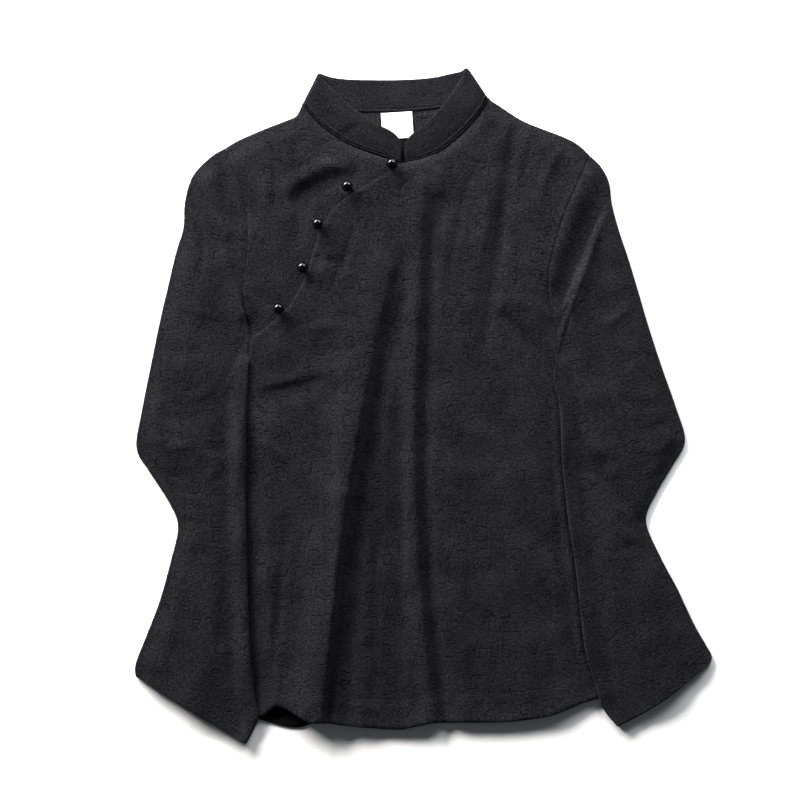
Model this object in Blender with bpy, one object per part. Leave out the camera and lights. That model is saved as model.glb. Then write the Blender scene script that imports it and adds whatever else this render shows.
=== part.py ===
# Tai chi top, laid flat with its front up.
# All sizes are millimetres, and place() turns them to metres in the part's frame.
# Plan positions are read off the laying table: x runs to the right and y runs from the collar to the hem.
# Sides are the wearer's, so the right sleeve lies at low x.

import math
from collections import namedtuple

import bmesh
import bpy
import numpy as np
from mathutils import Vector
from mathutils.bvhtree import BVHTree
from mathutils.geometry import delaunay_2d_cdt

MM = 0.001
CENTRE_X = 423.5        # middle of the laid garment, from cuff corner to cuff corner
CENTRE_Y = 406.0        # middle from the collar's tip to the lowest cuff corner

CLOTH = 1.3             # crepe with its seam turnings averaged in
LAYER_GAP = 0.3         # air between cloth layers that lie on each other
SEAM_GAP = 0.3          # between two pieces sewn edge to edge
FLAP_SLACK = 0.8        # extra rise of the flap over the underlap
TUBE_GAP = 0.4          # air inside a sleeve where its two sides lie on each other

# How the cloth lies
LOFT = 3.0              # usual height of the cloth over the layer under it
EDGE_FADE = 18.0        # the cloth comes down to the table over this distance from an outer edge
NECK_FADE = 14.0
SIDE_FADE = 26.0
FLAT_STRIP = 6.0        # flat strip of the body under the edge of a sleeve
LIFT_FULL = 10.0        # a sleeve is fully lifted this near the body's side
LIFT_REACH = 20.0       # and comes down to the table over this distance
HIDDEN_ROOM = 3.0       # the front stays raised this far past the underlap's hidden edge
STEP_REACH = 15.0       # and comes down over this distance
UNDERARM_FREE = 24.0    # a sleeve isn't lifted by the body's side this near the underarm
FLAP_FADE = 20.0        # the underlap lies flat this far under the flap
CRISP_FOLD = 3.9        # a fold at least this high gets its own lines of points

# Spacing of points on the panels
GRID_X = 10.0           # across the folded panels, and half the spacing down them
GRID_FLAT = 60.0        # the same on the back, which is flat
EDGE_STEP = 9.0
ARMHOLE_POINTS = 13
SLEEVE_RIM = 1.2        # width of a sleeve's rounded edge
INNER_TIP = 0.8         # share of the rim's width that its inner tip is drawn in
FOLD_REGION = (260.0, 545.0)    # the body's folds lie between these positions across
CLEAR_OF_EDGE = 0.4     # points keep this share of the grid's spacing from an edge
RAY_START = 60.0        # above the highest cloth
SAME_POINT = 0.6        # outline points nearer to each other than this are one
SPAN_STEPS = 12         # fine steps between two rows of a table
CURVE_POINTS = 15       # along the curve of a fold
BULGE_SECTIONS = 6.0    # the armhole's curve has died out by this section of the sleeve
FOLD_STEP = 16.0

# Collar and trim
COLLAR_THICK = 2.0
COLLAR_ROWS = 5
COLLAR_STEP = 9.0
CREASE_POINTS = 5
PIPING_RADIUS = 0.95
PIPING_ROOM = 1.4       # from the neck seam to the middle of the piping
PIPING_STEP = 4.0
PIPING_LIFT = 1.56      # middle of the piping over the back panel
NECK_CORNER = 12.0      # the back panel reaches up to the collar this far in from each crease
CORNER_RISE = 2.4
BINDING_RADIUS = 1.1
BUTTON_RADIUS = 5.6
BUTTON_SIDES = 12
SHANK_RADIUS = 1.6
SHANK_HEIGHT = 2.6
LOOP_RADIUS = 0.7
LABEL_WIDTH = 31.0
LABEL_HEIGHT = 26.0
LABEL_THICK = 0.5
LABEL_TILT = 3.5        # degrees

# Seam lines down each side, as x and y from the neck towards the hem
RIGHT_SHOULDER = ((302, 106), (296, 116.5), (286, 121), (263, 130), (240, 140), (226, 148))
RIGHT_ARMHOLE = ((226, 148), (235, 172), (243, 194), (247, 220), (247, 251), (243, 286), (243, 308), (251, 335))
RIGHT_SIDE = ((251, 335), (250.2, 346), (249.8, 356), (247.5, 370), (243, 390), (241, 430), (241, 500), (243, 600),
              (246, 670), (252, 717))
LEFT_SHOULDER = ((489, 100), (499, 106), (519, 119), (534, 126), (563, 137), (578, 145), (590, 156))
LEFT_ARMHOLE = ((590, 156), (578, 182), (565, 212), (556, 240), (550, 264), (548, 288), (551, 310), (558, 335))
LEFT_SIDE = ((558, 335), (558.2, 346), (556.4, 356), (557, 370), (561, 390), (565, 420), (566, 450), (573, 520),
             (579, 560), (584, 600), (590, 650), (596, 675), (603, 697))
FLAP = ((402, 166), (379, 178), (354, 193), (338, 205), (327, 218), (319, 234), (312, 256), (307, 274), (298, 292),
        (288, 308), (275, 320), (263, 330), (252, 337))
BACK_HEM = ((252, 717), (262, 720), (283, 726), (299, 727.5), (311, 724), (325, 723), (350, 726), (382, 729),
            (401, 729.5), (420, 726), (440, 723), (497, 722.5), (527, 720), (554, 715), (581, 704), (603, 697))
FRONT_HEM = ((252, 716), (264, 715), (278, 706), (298, 715), (311, 721.5), (325, 722), (350, 725.5), (382, 728),
             (401, 728.5), (420, 725), (440, 722), (497, 721.5), (527, 719), (554, 714), (581, 703), (603, 696))
UNDERLAP_HIDDEN = ((402, 163), (424, 172), (424, 190), (402, 225), (374, 262), (344, 298), (318, 325), (290, 342),
                   (252, 347))

# Sleeve tubes: the two ends of each section across the arm, from the armhole to the cuff
SleeveSection = namedtuple("SleeveSection", "outer_x outer_y inner_x inner_y")
RIGHT_SLEEVE = (
    SleeveSection(226, 148, 251, 335), SleeveSection(211, 157, 249.7, 339), SleeveSection(193, 176, 249.5, 345),
    SleeveSection(185, 202, 249.3, 353), SleeveSection(183.5, 228, 249, 362), SleeveSection(176, 253, 248.5, 371),
    SleeveSection(168, 287, 248, 382), SleeveSection(160, 321, 247, 395), SleeveSection(151, 365, 246, 412),
    SleeveSection(142, 410, 246, 430), SleeveSection(136.5, 448, 246, 450), SleeveSection(149, 471, 246, 475),
    SleeveSection(169.5, 503, 246, 505), SleeveSection(178, 527, 246.5, 533), SleeveSection(171, 560, 247.5, 568),
    SleeveSection(160, 600, 248.5, 608), SleeveSection(147.5, 633, 250.5, 650), SleeveSection(137.5, 658, 256, 700),
    SleeveSection(135, 668, 259, 718), SleeveSection(136, 676, 247, 743))
LEFT_SLEEVE = (
    SleeveSection(590, 156, 558, 335), SleeveSection(601, 167, 559.3, 339), SleeveSection(609, 183, 559.1, 345),
    SleeveSection(612, 205, 557.9, 352), SleeveSection(619, 231, 556.5, 360), SleeveSection(628, 258, 554.5, 369),
    SleeveSection(638, 291, 553.5, 377), SleeveSection(648, 325, 555, 387), SleeveSection(661, 365, 558, 399),
    SleeveSection(675, 405, 560, 415), SleeveSection(685, 440, 561, 440), SleeveSection(674, 463, 562, 463),
    SleeveSection(657, 492, 565, 492), SleeveSection(646, 521, 568, 520), SleeveSection(660, 556, 574, 558),
    SleeveSection(677, 588, 579, 600), SleeveSection(693, 622, 585, 650), SleeveSection(706, 645, 597, 690),
    SleeveSection(711.5, 655, 602, 708), SleeveSection(711, 661, 617, 726))

RIGHT_CUFF_BOW = 1.5
LEFT_CUFF_BOW = 6.0

# Stand collar, flattened into a ring: each row runs from the neck seam to the top edge.
# seam_z and top_z are the heights of the band's middle there.
CollarSection = namedtuple("CollarSection", "seam_x seam_y top_x top_y seam_z top_z")
COLLAR_RIGHT = (
    CollarSection(401, 163, 401.5, 148, 4.2, 5.2), CollarSection(396, 161.5, 399, 139, 4.2, 6.0),
    CollarSection(386, 158, 391, 131.5, 4.2, 6.6), CollarSection(365, 151, 375, 123.5, 4.4, 7.0),
    CollarSection(346, 143, 358, 112, 4.8, 7.2), CollarSection(323, 128, 339, 95.5, 5.6, 6.8),
    CollarSection(309, 113, 324.5, 81, 6.2, 6.2))
COLLAR_BACK = (
    CollarSection(312, 109, 330, 77, 1, 1), CollarSection(330, 110.5, 342, 79, 1, 1),
    CollarSection(356, 112, 362, 80, 1, 1), CollarSection(400, 112, 400, 80, 1, 1),
    CollarSection(430, 109.5, 430, 78, 1, 1), CollarSection(460, 105.5, 450, 74, 1, 1),
    CollarSection(478, 103, 461, 71.5, 1, 1))
COLLAR_LEFT = (
    CollarSection(483, 109, 461.5, 77.5, 6.2, 6.2), CollarSection(477, 118, 454.5, 89, 5.8, 6.8),
    CollarSection(461, 135, 443.5, 104.5, 4.8, 7.2), CollarSection(441, 151, 430, 119.5, 4.4, 7.0),
    CollarSection(424, 158.5, 417, 130.5, 4.3, 6.6), CollarSection(412, 161.5, 408.5, 138, 4.2, 6.0),
    CollarSection(405, 163, 404.5, 148, 4.2, 5.2))
RIGHT_CREASE = CollarSection(302, 106, 318, 74, 1, 6.2)
LEFT_CREASE = CollarSection(489, 100, 468, 69, 1, 6.2)

# Folds: a soft ridge (or a trough, where the height is less than zero) along a curve through three points.
# h0, h1 and h2 are its heights there, and it reaches left and right of the curve as seen looking along it.
Fold = namedtuple("Fold", "x0 y0 x1 y1 x2 y2 h0 h1 h2 left right")
FOLDS = (
    # Body: the two long folds and their troughs
    Fold(389, 272, 347, 490, 321, 716, 2.5, 8.5, 12.5, 42, 13),
    Fold(402, 300, 362, 500, 347, 720, -2, -3.5, -3.5, 11, 24),
    Fold(424, 185, 413, 470, 434, 722, 3, 6, 6, 18, 10),
    Fold(437, 200, 424, 480, 446, 722, -3, -3.5, -3, 8, 14),
    Fold(514, 130, 500, 232, 478, 388, -3, -3.5, -1, 9, 13),
    Fold(500, 140, 484, 230, 465, 335, 2, 4, 1, 18, 11),
    # Body: slack towards the underarms and the bust
    Fold(492, 302, 520, 302, 553, 314, 1, 3.5, 3, 12, 10),
    Fold(503, 316, 528, 344, 552, 374, -2.5, -3.5, -3.5, 10, 10),
    Fold(352, 176, 322, 183, 301, 197, -2, -3.5, -3, 9, 9),
    Fold(299, 193, 296, 218, 295, 254, -2.5, -2.5, 0, 9, 9),
    Fold(254, 391, 285, 384, 318, 376, -3, -3.5, -1.5, 8, 8),
    Fold(306, 396, 321, 440, 342, 484, -1.5, -3, -3.5, 9, 9),
    Fold(394, 560, 403, 602, 415, 648, 0, -2.5, 0, 8, 9),
    # Right sleeve: its crest from the shoulder, slack at the elbow
    Fold(196, 196, 224, 253, 246, 316, 2.5, 3.5, 2, 18, 7),
    Fold(246, 316, 249, 345, 226, 396, 2, 2, 0, 14, 6),
    Fold(206, 172, 215, 200, 227, 232, 2, 3, 1, 10, 15),
    Fold(203, 437, 225, 444, 248, 438, 0, -3, -3, 9, 9),
    Fold(172, 532, 183, 524, 196, 519, -3, -2, 0, 8, 8),
    Fold(214, 250, 190, 380, 196, 470, 0, 3, 0, 30, 30),
    Fold(212, 530, 205, 620, 193, 714, 0, 2.5, 2.8, 36, 36),
    # Left sleeve
    Fold(596, 160, 568, 214, 552, 276, 2, 4, 2.5, 10, 20),
    Fold(611, 205, 588, 258, 564, 326, 2.5, 3.5, 2, 7, 18),
    Fold(564, 326, 556, 350, 554, 378, 2, 2.5, 1.3, 6, 14),
    Fold(554, 378, 588, 436, 636, 510, 1.3, 3.8, 1, 7, 18),
    Fold(604, 188, 583, 234, 563, 290, -2.5, -4, -3, 15, 9),
    Fold(560, 462, 585, 464, 606, 458, -3, -3, 0, 9, 9),
    Fold(566, 408, 588, 452, 620, 504, -2, -3, -1, 9, 8),
    Fold(622, 300, 630, 390, 640, 440, 0, 3, 0, 30, 30),
    Fold(604, 520, 628, 600, 664, 697, 0, 2.5, 2.8, 36, 36))

# Ball buttons, from the collar down the flap
BUTTONS = ((392, 164.5), (347.5, 187), (318, 224.5), (303, 268), (279, 309))
LABEL_CORNER = (381, 113.6)

CREPE = {"colour": (0.022, 0.022, 0.026), "roughness": 0.92}
PIPING = {"colour": (0.006, 0.006, 0.007), "roughness": 0.6}
BALL = {"colour": (0.004, 0.004, 0.004), "roughness": 0.08}
SATIN = {"colour": (0.86, 0.87, 0.88), "roughness": 0.5}


def place(x, y, z=0.0):
    return Vector(((x - CENTRE_X) * MM, (CENTRE_Y - y) * MM, z * MM))


def smooth_step(value):
    value = np.clip(value, 0.0, 1.0)
    return value * value * (3.0 - 2.0 * value)


def through(points, step):
    """Smooth curve through the rows of a table, cut into steps of about one length."""
    rows = np.array(points, dtype=float)
    first = 2.0 * rows[0] - rows[1]
    last = 2.0 * rows[-1] - rows[-2]
    rows = np.vstack((first, rows, last))
    fine = []
    for i in range(1, len(rows) - 2):
        for t in np.linspace(0.0, 1.0, SPAN_STEPS, endpoint=False):
            fine.append(0.5 * (2.0 * rows[i] + (rows[i + 1] - rows[i - 1]) * t
                               + (2.0 * rows[i - 1] - 5.0 * rows[i] + 4.0 * rows[i + 1] - rows[i + 2]) * t ** 2
                               + (3.0 * rows[i] - rows[i - 1] - 3.0 * rows[i + 1] + rows[i + 2]) * t ** 3))
    fine.append(rows[-2])
    fine = np.array(fine)
    lengths = np.hypot(*(np.diff(fine[:, :2], axis=0).T))
    along = np.concatenate(([0.0], np.cumsum(lengths)))
    count = max(2, int(round(along[-1] / step)) + 1)
    wanted = np.linspace(0.0, along[-1], count)
    return np.column_stack([np.interp(wanted, along, fine[:, k]) for k in range(fine.shape[1])])


def beside(line, distance):
    """The line moved sideways: to the right of its run for a positive distance."""
    run = np.gradient(line, axis=0)
    run /= np.hypot(run[:, 0], run[:, 1])[:, None]
    return line + distance * np.column_stack((run[:, 1], -run[:, 0]))


def nearest(points, line):
    """Distance to a line, which side it is on (-1 left to 1 right) and how far along it."""
    best = np.full(len(points), 1.0e9)
    side = np.zeros(len(points))
    along = np.zeros(len(points))
    lengths = np.hypot(*(np.diff(line, axis=0).T))
    starts = np.concatenate(([0.0], np.cumsum(lengths)))
    for i, length in enumerate(lengths):
        run = (line[i + 1] - line[i]) / length
        t = np.clip((points - line[i]) @ run, 0.0, length)
        gap = points - line[i] - t[:, None] * run
        distance = np.hypot(gap[:, 0], gap[:, 1])
        closer = distance < best
        best = np.where(closer, distance, best)
        across = (gap[:, 0] * run[1] - gap[:, 1] * run[0]) / np.maximum(distance, 1.0e-9)
        side = np.where(closer, across, side)
        along = np.where(closer, (starts[i] + t) / starts[-1], along)
    return best, side, along


def fold_curve(fold):
    start = np.array((fold.x0, fold.y0), dtype=float)
    middle = np.array((fold.x1, fold.y1), dtype=float)
    end = np.array((fold.x2, fold.y2), dtype=float)
    bend = 2.0 * middle - 0.5 * (start + end)
    t = np.linspace(0.0, 1.0, CURVE_POINTS)[:, None]
    return (1.0 - t) ** 2 * start + 2.0 * t * (1.0 - t) * bend + t ** 2 * end


def fold_height(points, fold):
    distance, side, along = nearest(points, fold_curve(fold))
    reach = fold.left + (fold.right - fold.left) * 0.5 * (side + 1.0)
    height = np.interp(along, (0.0, 0.5, 1.0), (fold.h0, fold.h1, fold.h2))
    return height * 0.5 * (1.0 + np.cos(math.pi * np.minimum(distance / reach, 1.0)))


def sections_line(sections, x, y):
    return np.array([(getattr(row, x), getattr(row, y)) for row in sections], dtype=float)


NECK_RIGHT = np.vstack(((302, 106), sections_line(COLLAR_RIGHT, "seam_x", "seam_y")[::-1]))
NECK_LEFT = np.vstack(((489, 100), sections_line(COLLAR_LEFT, "seam_x", "seam_y"), (402, 166)))
NECK_BACK = np.vstack(((302, 107.5), sections_line(COLLAR_BACK, "seam_x", "seam_y"), (489, 101.5)))
OUTER_EDGES = (
    through(RIGHT_SHOULDER, EDGE_STEP), through(LEFT_SHOULDER, EDGE_STEP),
    sections_line(RIGHT_SLEEVE, "outer_x", "outer_y"), sections_line(LEFT_SLEEVE, "outer_x", "outer_y"))
SIDES = (through(RIGHT_SIDE, EDGE_STEP), through(LEFT_SIDE, EDGE_STEP))


def relief(points):
    """Height of the folded cloth over a flat one, at plan points."""
    raised = np.full(len(points), LOFT)
    for fold in FOLDS:
        raised += fold_height(points, fold)
    raised = 0.5 * (raised + np.sqrt(raised * raised + 1.0))
    for edge in OUTER_EDGES:
        raised *= smooth_step(nearest(points, edge)[0] / EDGE_FADE)
    for edge in (NECK_RIGHT, NECK_LEFT):
        raised *= smooth_step(nearest(points, edge)[0] / NECK_FADE)
    for edge in SIDES:
        raised *= smooth_step((nearest(points, edge)[0] - FLAT_STRIP) / SIDE_FADE)
    return raised


def over_underlap(points):
    """1 where the main front lies on the underlap, 0 well away from it."""
    hidden_edge = through(UNDERLAP_HIDDEN, EDGE_STEP)
    distance, side, _ = nearest(points, hidden_edge)
    return smooth_step(1.0 - np.where(side > 0.0, np.maximum(distance - HIDDEN_ROOM, 0.0), 0.0) / STEP_REACH)


def under_flap(points):
    distance, side, _ = nearest(points, through(FLAP, EDGE_STEP))
    return smooth_step(np.where(side > 0.0, distance, 0.0) / FLAP_FADE)


def front_top(points):
    step_up = (CLOTH + LAYER_GAP + FLAP_SLACK) * over_underlap(points)
    return 2.0 * CLOTH + LAYER_GAP + step_up + relief(points)


def underlap_top(points):
    return 2.0 * CLOTH + LAYER_GAP + relief(points) * (1.0 - under_flap(points))


def sleeve_lift(points, side):
    """Height of a sleeve's underside, which lies on the table or over the body's side."""
    free = side[np.hypot(*(side - side[0]).T) > UNDERARM_FREE]
    distance = nearest(points, free)[0]
    full = 2.0 * CLOTH + 2.0 * LAYER_GAP
    return full * smooth_step(1.0 - (distance - LIFT_FULL) / LIFT_REACH)


def material(name, look):
    made = bpy.data.materials.get(name)
    if made:
        return made
    made = bpy.data.materials.new(name)
    made.use_nodes = True
    shader = made.node_tree.nodes["Principled BSDF"]
    shader.inputs["Base Color"].default_value = (*look["colour"], 1.0)
    shader.inputs["Roughness"].default_value = look["roughness"]
    shader.inputs["Metallic"].default_value = 0.0
    return made


def add_piece(name, corners, faces, look_name, look):
    mesh = bpy.data.meshes.new(name)
    mesh.from_pydata([tuple(corner) for corner in corners], [], faces)
    shape = bmesh.new()
    shape.from_mesh(mesh)
    bmesh.ops.recalc_face_normals(shape, faces=shape.faces)
    shape.to_mesh(mesh)
    shape.free()
    mesh.materials.append(material(look_name, look))
    mesh.shade_smooth()
    mesh.set_sharp_from_angle(angle=math.radians(50))
    piece = bpy.data.objects.new(name, mesh)
    bpy.context.scene.collection.objects.link(piece)
    return piece


def upright(points, top):
    """Unit normals of a surface given by its height at plan points, y up the garment."""
    reach = 1.0
    slope_x = (top(points + (reach, 0.0)) - top(points - (reach, 0.0))) / (2.0 * reach)
    slope_y = (top(points + (0.0, reach)) - top(points - (0.0, reach))) / (2.0 * reach)
    normals = np.column_stack((-slope_x, -slope_y, np.ones(len(points))))
    return normals / np.linalg.norm(normals, axis=1)[:, None]


def fold_lines(in_region):
    """Lines of points along the crests and feet of the higher folds."""
    lines = []
    for fold in FOLDS:
        if max(abs(fold.h0), abs(fold.h1), abs(fold.h2)) < CRISP_FOLD:
            continue
        curve = fold_curve(fold)
        if not in_region(curve[CURVE_POINTS // 2]):
            continue
        offsets = [0.0, fold.right / 2.0, -fold.left / 2.0]
        offsets += [fold.right] if fold.right < 2.0 * GRID_X else []
        offsets += [-fold.left] if fold.left < 2.0 * GRID_X else []
        crest = through(curve, FOLD_STEP)
        lines += [beside(crest, offset) for offset in offsets]
    return lines


def mesh_plan(outline, lines, step_x):
    """Triangles inside an outline, with a staggered grid of points and the fold lines."""
    low = outline.min(axis=0)
    high = outline.max(axis=0)
    grid = []
    for row, y in enumerate(np.arange(low[1], high[1], 2.0 * step_x)):
        shift = step_x / 2.0 if row % 2 else 0.0
        grid += [(x, y) for x in np.arange(low[0] + shift, high[0], step_x)]
    grid = np.array(grid)
    closed = np.vstack((outline, outline[:1]))
    keep = nearest(grid, closed)[0] > GRID_X * CLEAR_OF_EDGE
    corners = [Vector(point) for point in outline]
    edges = []
    for line in lines:
        keep &= nearest(grid, line)[0] > GRID_X * CLEAR_OF_EDGE
        clear = nearest(line, closed)[0] > GRID_X * CLEAR_OF_EDGE
        for i, point in enumerate(line):
            if clear[i]:
                corners.append(Vector(point))
                if i and clear[i - 1]:
                    edges.append((len(corners) - 2, len(corners) - 1))
    corners += [Vector(point) for point in grid[keep]]
    result = delaunay_2d_cdt(corners, edges, [list(range(len(outline)))], 1, 0.01)
    plan = np.array([tuple(corner) for corner in result[0]])
    faces = []
    for face in result[2]:
        a, b, c = (plan[i] for i in face)
        turn = (b[0] - a[0]) * (c[1] - a[1]) - (b[1] - a[1]) * (c[0] - a[0])
        faces.append(tuple(face) if turn < 0.0 else tuple(reversed(face)))
    return plan, faces


def cloth_panel(name, outline, top, lines=(), step_x=GRID_X):
    """One closed sheet of cloth. Its top follows a height over the plan, and its wall is square to that."""
    plan, faces = mesh_plan(outline, lines, step_x)
    used = {}
    for a, b, c in faces:
        for edge in ((a, b), (b, c), (c, a)):
            used[edge] = True
    rim = [edge for edge in used if (edge[1], edge[0]) not in used]
    rim_points = sorted({i for edge in rim for i in edge})
    height = top(plan)
    normal = upright(plan, top)
    normal[rim_points] = (0.0, 0.0, 1.0)
    outside = np.column_stack((plan, height))
    inside = outside - CLOTH * normal
    count = len(plan)
    shell = [tuple(face) for face in faces]
    shell += [tuple(i + count for i in reversed(face)) for face in faces]
    shell += [(b, a, a + count, b + count) for a, b in rim]
    corners = [place(*point) for point in np.vstack((outside, inside))]
    return add_piece(name, corners, shell, "crepe", CREPE)


def joined(*runs):
    """One closed outline from runs of points, without the doubled ends."""
    points = []
    for run in runs:
        for point in run:
            if not points or np.hypot(*(point - points[-1])) > SAME_POINT:
                points.append(point)
    if np.hypot(*(points[0] - points[-1])) < SAME_POINT:
        points.pop()
    return np.array(points)


def armhole_line(points):
    line = through(points, 1.0)
    steps = np.linspace(0.0, 1.0, ARMHOLE_POINTS) * (len(line) - 1)
    return line[np.round(steps).astype(int)]


def flat_top(points):
    return np.full(len(points), CLOTH)


def back_neck_edge():
    """Neck edge of the back panel, which rises to the collar's lower edge at both creases."""
    line = through(NECK_BACK, PIPING_STEP)
    from_end = np.minimum(np.arange(len(line)), np.arange(len(line))[::-1]) * PIPING_STEP
    rise = CORNER_RISE * (1.0 - smooth_step(from_end / NECK_CORNER))
    return beside(line, rise[:, None])


def make_back():
    outline = joined(
        back_neck_edge()[::-1], through(RIGHT_SHOULDER, EDGE_STEP)[1:-1],
        beside(armhole_line(RIGHT_ARMHOLE), SEAM_GAP / 2.0), SIDES[0][1:-1], through(BACK_HEM, EDGE_STEP * 2.0),
        SIDES[1][-2:0:-1], beside(armhole_line(LEFT_ARMHOLE), -SEAM_GAP / 2.0)[::-1],
        through(LEFT_SHOULDER, EDGE_STEP)[-2:0:-1])
    return cloth_panel("back_panel", outline, flat_top, step_x=GRID_FLAT)


def make_main_front():
    outline = joined(
        through(FLAP, EDGE_STEP), SIDES[0][1:-1], through(FRONT_HEM, EDGE_STEP), SIDES[1][-2:0:-1],
        beside(armhole_line(LEFT_ARMHOLE), -SEAM_GAP / 2.0)[::-1], through(LEFT_SHOULDER, EDGE_STEP)[-2::-1],
        through(NECK_LEFT, EDGE_STEP))
    lines = fold_lines(lambda point: FOLD_REGION[0] < point[0] < FOLD_REGION[1])
    lines += [beside(SIDES[0], FLAT_STRIP + 1.0), beside(SIDES[1], -FLAT_STRIP - 1.0)]
    return cloth_panel("main_front", outline, front_top, lines)


def make_underlap():
    hidden = through(UNDERLAP_HIDDEN, EDGE_STEP * 1.5)
    side = SIDES[0][SIDES[0][:, 1] < hidden[-1, 1] - 2.0]
    outline = joined(
        through(NECK_RIGHT, EDGE_STEP), hidden, side[:0:-1],
        beside(armhole_line(RIGHT_ARMHOLE), SEAM_GAP / 2.0)[::-1], through(RIGHT_SHOULDER, EDGE_STEP)[-2::-1])
    return cloth_panel("underlap_front", outline[::-1], underlap_top)


def ring_section(across, tips, top, bottom, open_end):
    """One section of a sleeve, as an outer ring of points and an inner one.

    across holds plan points from edge to edge, and tips the two outermost points of the rounded edges.
    """
    height = top(across)
    under = bottom(across)
    normal = upright(across, top)
    if open_end:
        normal[:] = (0.0, 0.0, 1.0)
    outer_top = np.column_stack((across, height))
    outer_under = np.column_stack((across, under))
    inner = across.copy()
    inner[0] += across[0] - tips[0]
    inner[-1] += across[-1] - tips[1]
    inner_top = np.column_stack((inner, height)) - CLOTH * normal
    inner_under = np.column_stack((inner, under + CLOTH))
    ends = []
    for i, tip in ((-1, tips[1]), (0, tips[0])):
        middle = 0.5 * (height[i] + under[i])
        ends.append((np.append(tip, middle), np.append(tip + INNER_TIP * (inner[i] - tip), middle)))
    outer_ring = np.vstack((outer_top, ends[0][0], outer_under[::-1], ends[1][0]))
    inner_ring = np.vstack((inner_top, ends[0][1], inner_under[::-1], ends[1][1]))
    return outer_ring, inner_ring


def make_sleeve(name, sections, armhole, way, side, bow):
    """A flattened tube of cloth, open at the armhole and the cuff, whose cuff edge bows out a little."""
    seam = beside(armhole_line(armhole), way * SEAM_GAP / 2.0)
    steps = np.linspace(0.0, 1.0, ARMHOLE_POINTS)[:, None]
    chord = seam[0] + steps * (seam[-1] - seam[0])
    bulge = seam - chord

    def bottom(points):
        return sleeve_lift(points, side)

    def top(points):
        return bottom(points) + 2.0 * CLOTH + TUBE_GAP + relief(points)

    outer_rings = []
    inner_rings = []
    for i, row in enumerate(sections):
        if i == 0:
            across = seam.copy()
        else:
            first = np.array((row.outer_x, row.outer_y), dtype=float)
            last = np.array((row.inner_x, row.inner_y), dtype=float)
            across = first + steps * (last - first) + max(0.0, 1.0 - i / BULGE_SECTIONS) * bulge
        if i == len(sections) - 1:
            across[:, 1] += bow * np.sin(math.pi * steps[:, 0])
        tips = (across[0].copy(), across[-1].copy())
        across[0] += SLEEVE_RIM * (across[1] - across[0]) / np.hypot(*(across[1] - across[0]))
        across[-1] += SLEEVE_RIM * (across[-2] - across[-1]) / np.hypot(*(across[-2] - across[-1]))
        outer_ring, inner_ring = ring_section(across, tips, top, bottom, i in (0, len(sections) - 1))
        outer_rings.append(outer_ring)
        inner_rings.append(inner_ring)
    corners = np.vstack(outer_rings + inner_rings)
    ring = len(outer_rings[0])
    inner_start = ring * len(sections)
    faces = []
    for i in range(len(sections) - 1):
        for j in range(ring):
            a = i * ring + j
            b = i * ring + (j + 1) % ring
            faces.append((a, b, b + ring, a + ring))
            faces.append((inner_start + b, inner_start + a, inner_start + a + ring, inner_start + b + ring))
    last_ring = ring * (len(sections) - 1)
    for j in range(ring):
        k = (j + 1) % ring
        faces.append((k, j, inner_start + j, inner_start + k))
        faces.append((last_ring + j, last_ring + k, inner_start + last_ring + k, inner_start + last_ring + j))
    if way < 0.0:
        faces = [tuple(reversed(face)) for face in faces]
    return add_piece(name, [place(*corner) for corner in corners], faces, "crepe", CREPE)


def collar_run(sections):
    return through([tuple(row) for row in sections], COLLAR_STEP)


def crease_run(crease, outward, front_first):
    """Sections of the rounded crease, between the band's front and its back."""
    radius = 0.5 * (crease.top_z - crease.seam_z)
    middle = 0.5 * (crease.top_z + crease.seam_z)
    inset = radius + COLLAR_THICK / 2.0
    angles = np.linspace(90.0, -90.0, CREASE_POINTS)
    run = []
    for angle in angles if front_first else angles[::-1]:
        out = outward * (radius * math.cos(math.radians(angle)) - inset)
        z = middle + radius * math.sin(math.radians(angle))
        run.append((crease.seam_x + out, crease.seam_y, crease.top_x + out, crease.top_y, z, z))
    return np.array(run)


def make_collar():
    rows = np.vstack((
        collar_run(COLLAR_RIGHT), crease_run(RIGHT_CREASE, -1.0, True), collar_run(COLLAR_BACK),
        crease_run(LEFT_CREASE, 1.0, False), collar_run(COLLAR_LEFT)))
    seam = rows[:, (0, 1, 4)]
    top = rows[:, (2, 3, 5)]
    height = np.linalg.norm(top - seam, axis=1)[:, None]
    seam = seam + (top - seam) * (2.0 * PIPING_ROOM / height)
    share = np.linspace(0.0, 1.0, COLLAR_ROWS)[None, :, None]
    middle = seam[:, None, :] + share * (top - seam)[:, None, :]
    along = np.gradient(middle, axis=0)
    up = np.gradient(middle, axis=1)
    normal = np.cross(along, up)
    normal /= np.linalg.norm(normal, axis=2)[:, :, None]
    sides = (middle + normal * COLLAR_THICK / 2.0, middle - normal * COLLAR_THICK / 2.0)
    count = len(rows) * COLLAR_ROWS
    corners = np.vstack([side.reshape(-1, 3) for side in sides])
    faces = []

    def index(i, j, side):
        return side * count + i * COLLAR_ROWS + j

    for i in range(len(rows) - 1):
        for j in range(COLLAR_ROWS - 1):
            quad = ((i, j), (i + 1, j), (i + 1, j + 1), (i, j + 1))
            faces.append(tuple(index(a, b, 0) for a, b in quad))
            faces.append(tuple(index(a, b, 1) for a, b in reversed(quad)))
        for j, turned in ((0, False), (COLLAR_ROWS - 1, True)):
            quad = (index(i, j, 1), index(i + 1, j, 1), index(i + 1, j, 0), index(i, j, 0))
            faces.append(tuple(reversed(quad)) if turned else quad)
    for i, turned in ((0, True), (len(rows) - 1, False)):
        for j in range(COLLAR_ROWS - 1):
            quad = (index(i, j, 1), index(i, j + 1, 1), index(i, j + 1, 0), index(i, j, 0))
            faces.append(quad if turned else tuple(reversed(quad)))
    faces = [tuple(reversed(face)) for face in faces]
    return add_piece("stand_collar", [place(*corner) for corner in corners], faces, "crepe", CREPE)


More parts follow.
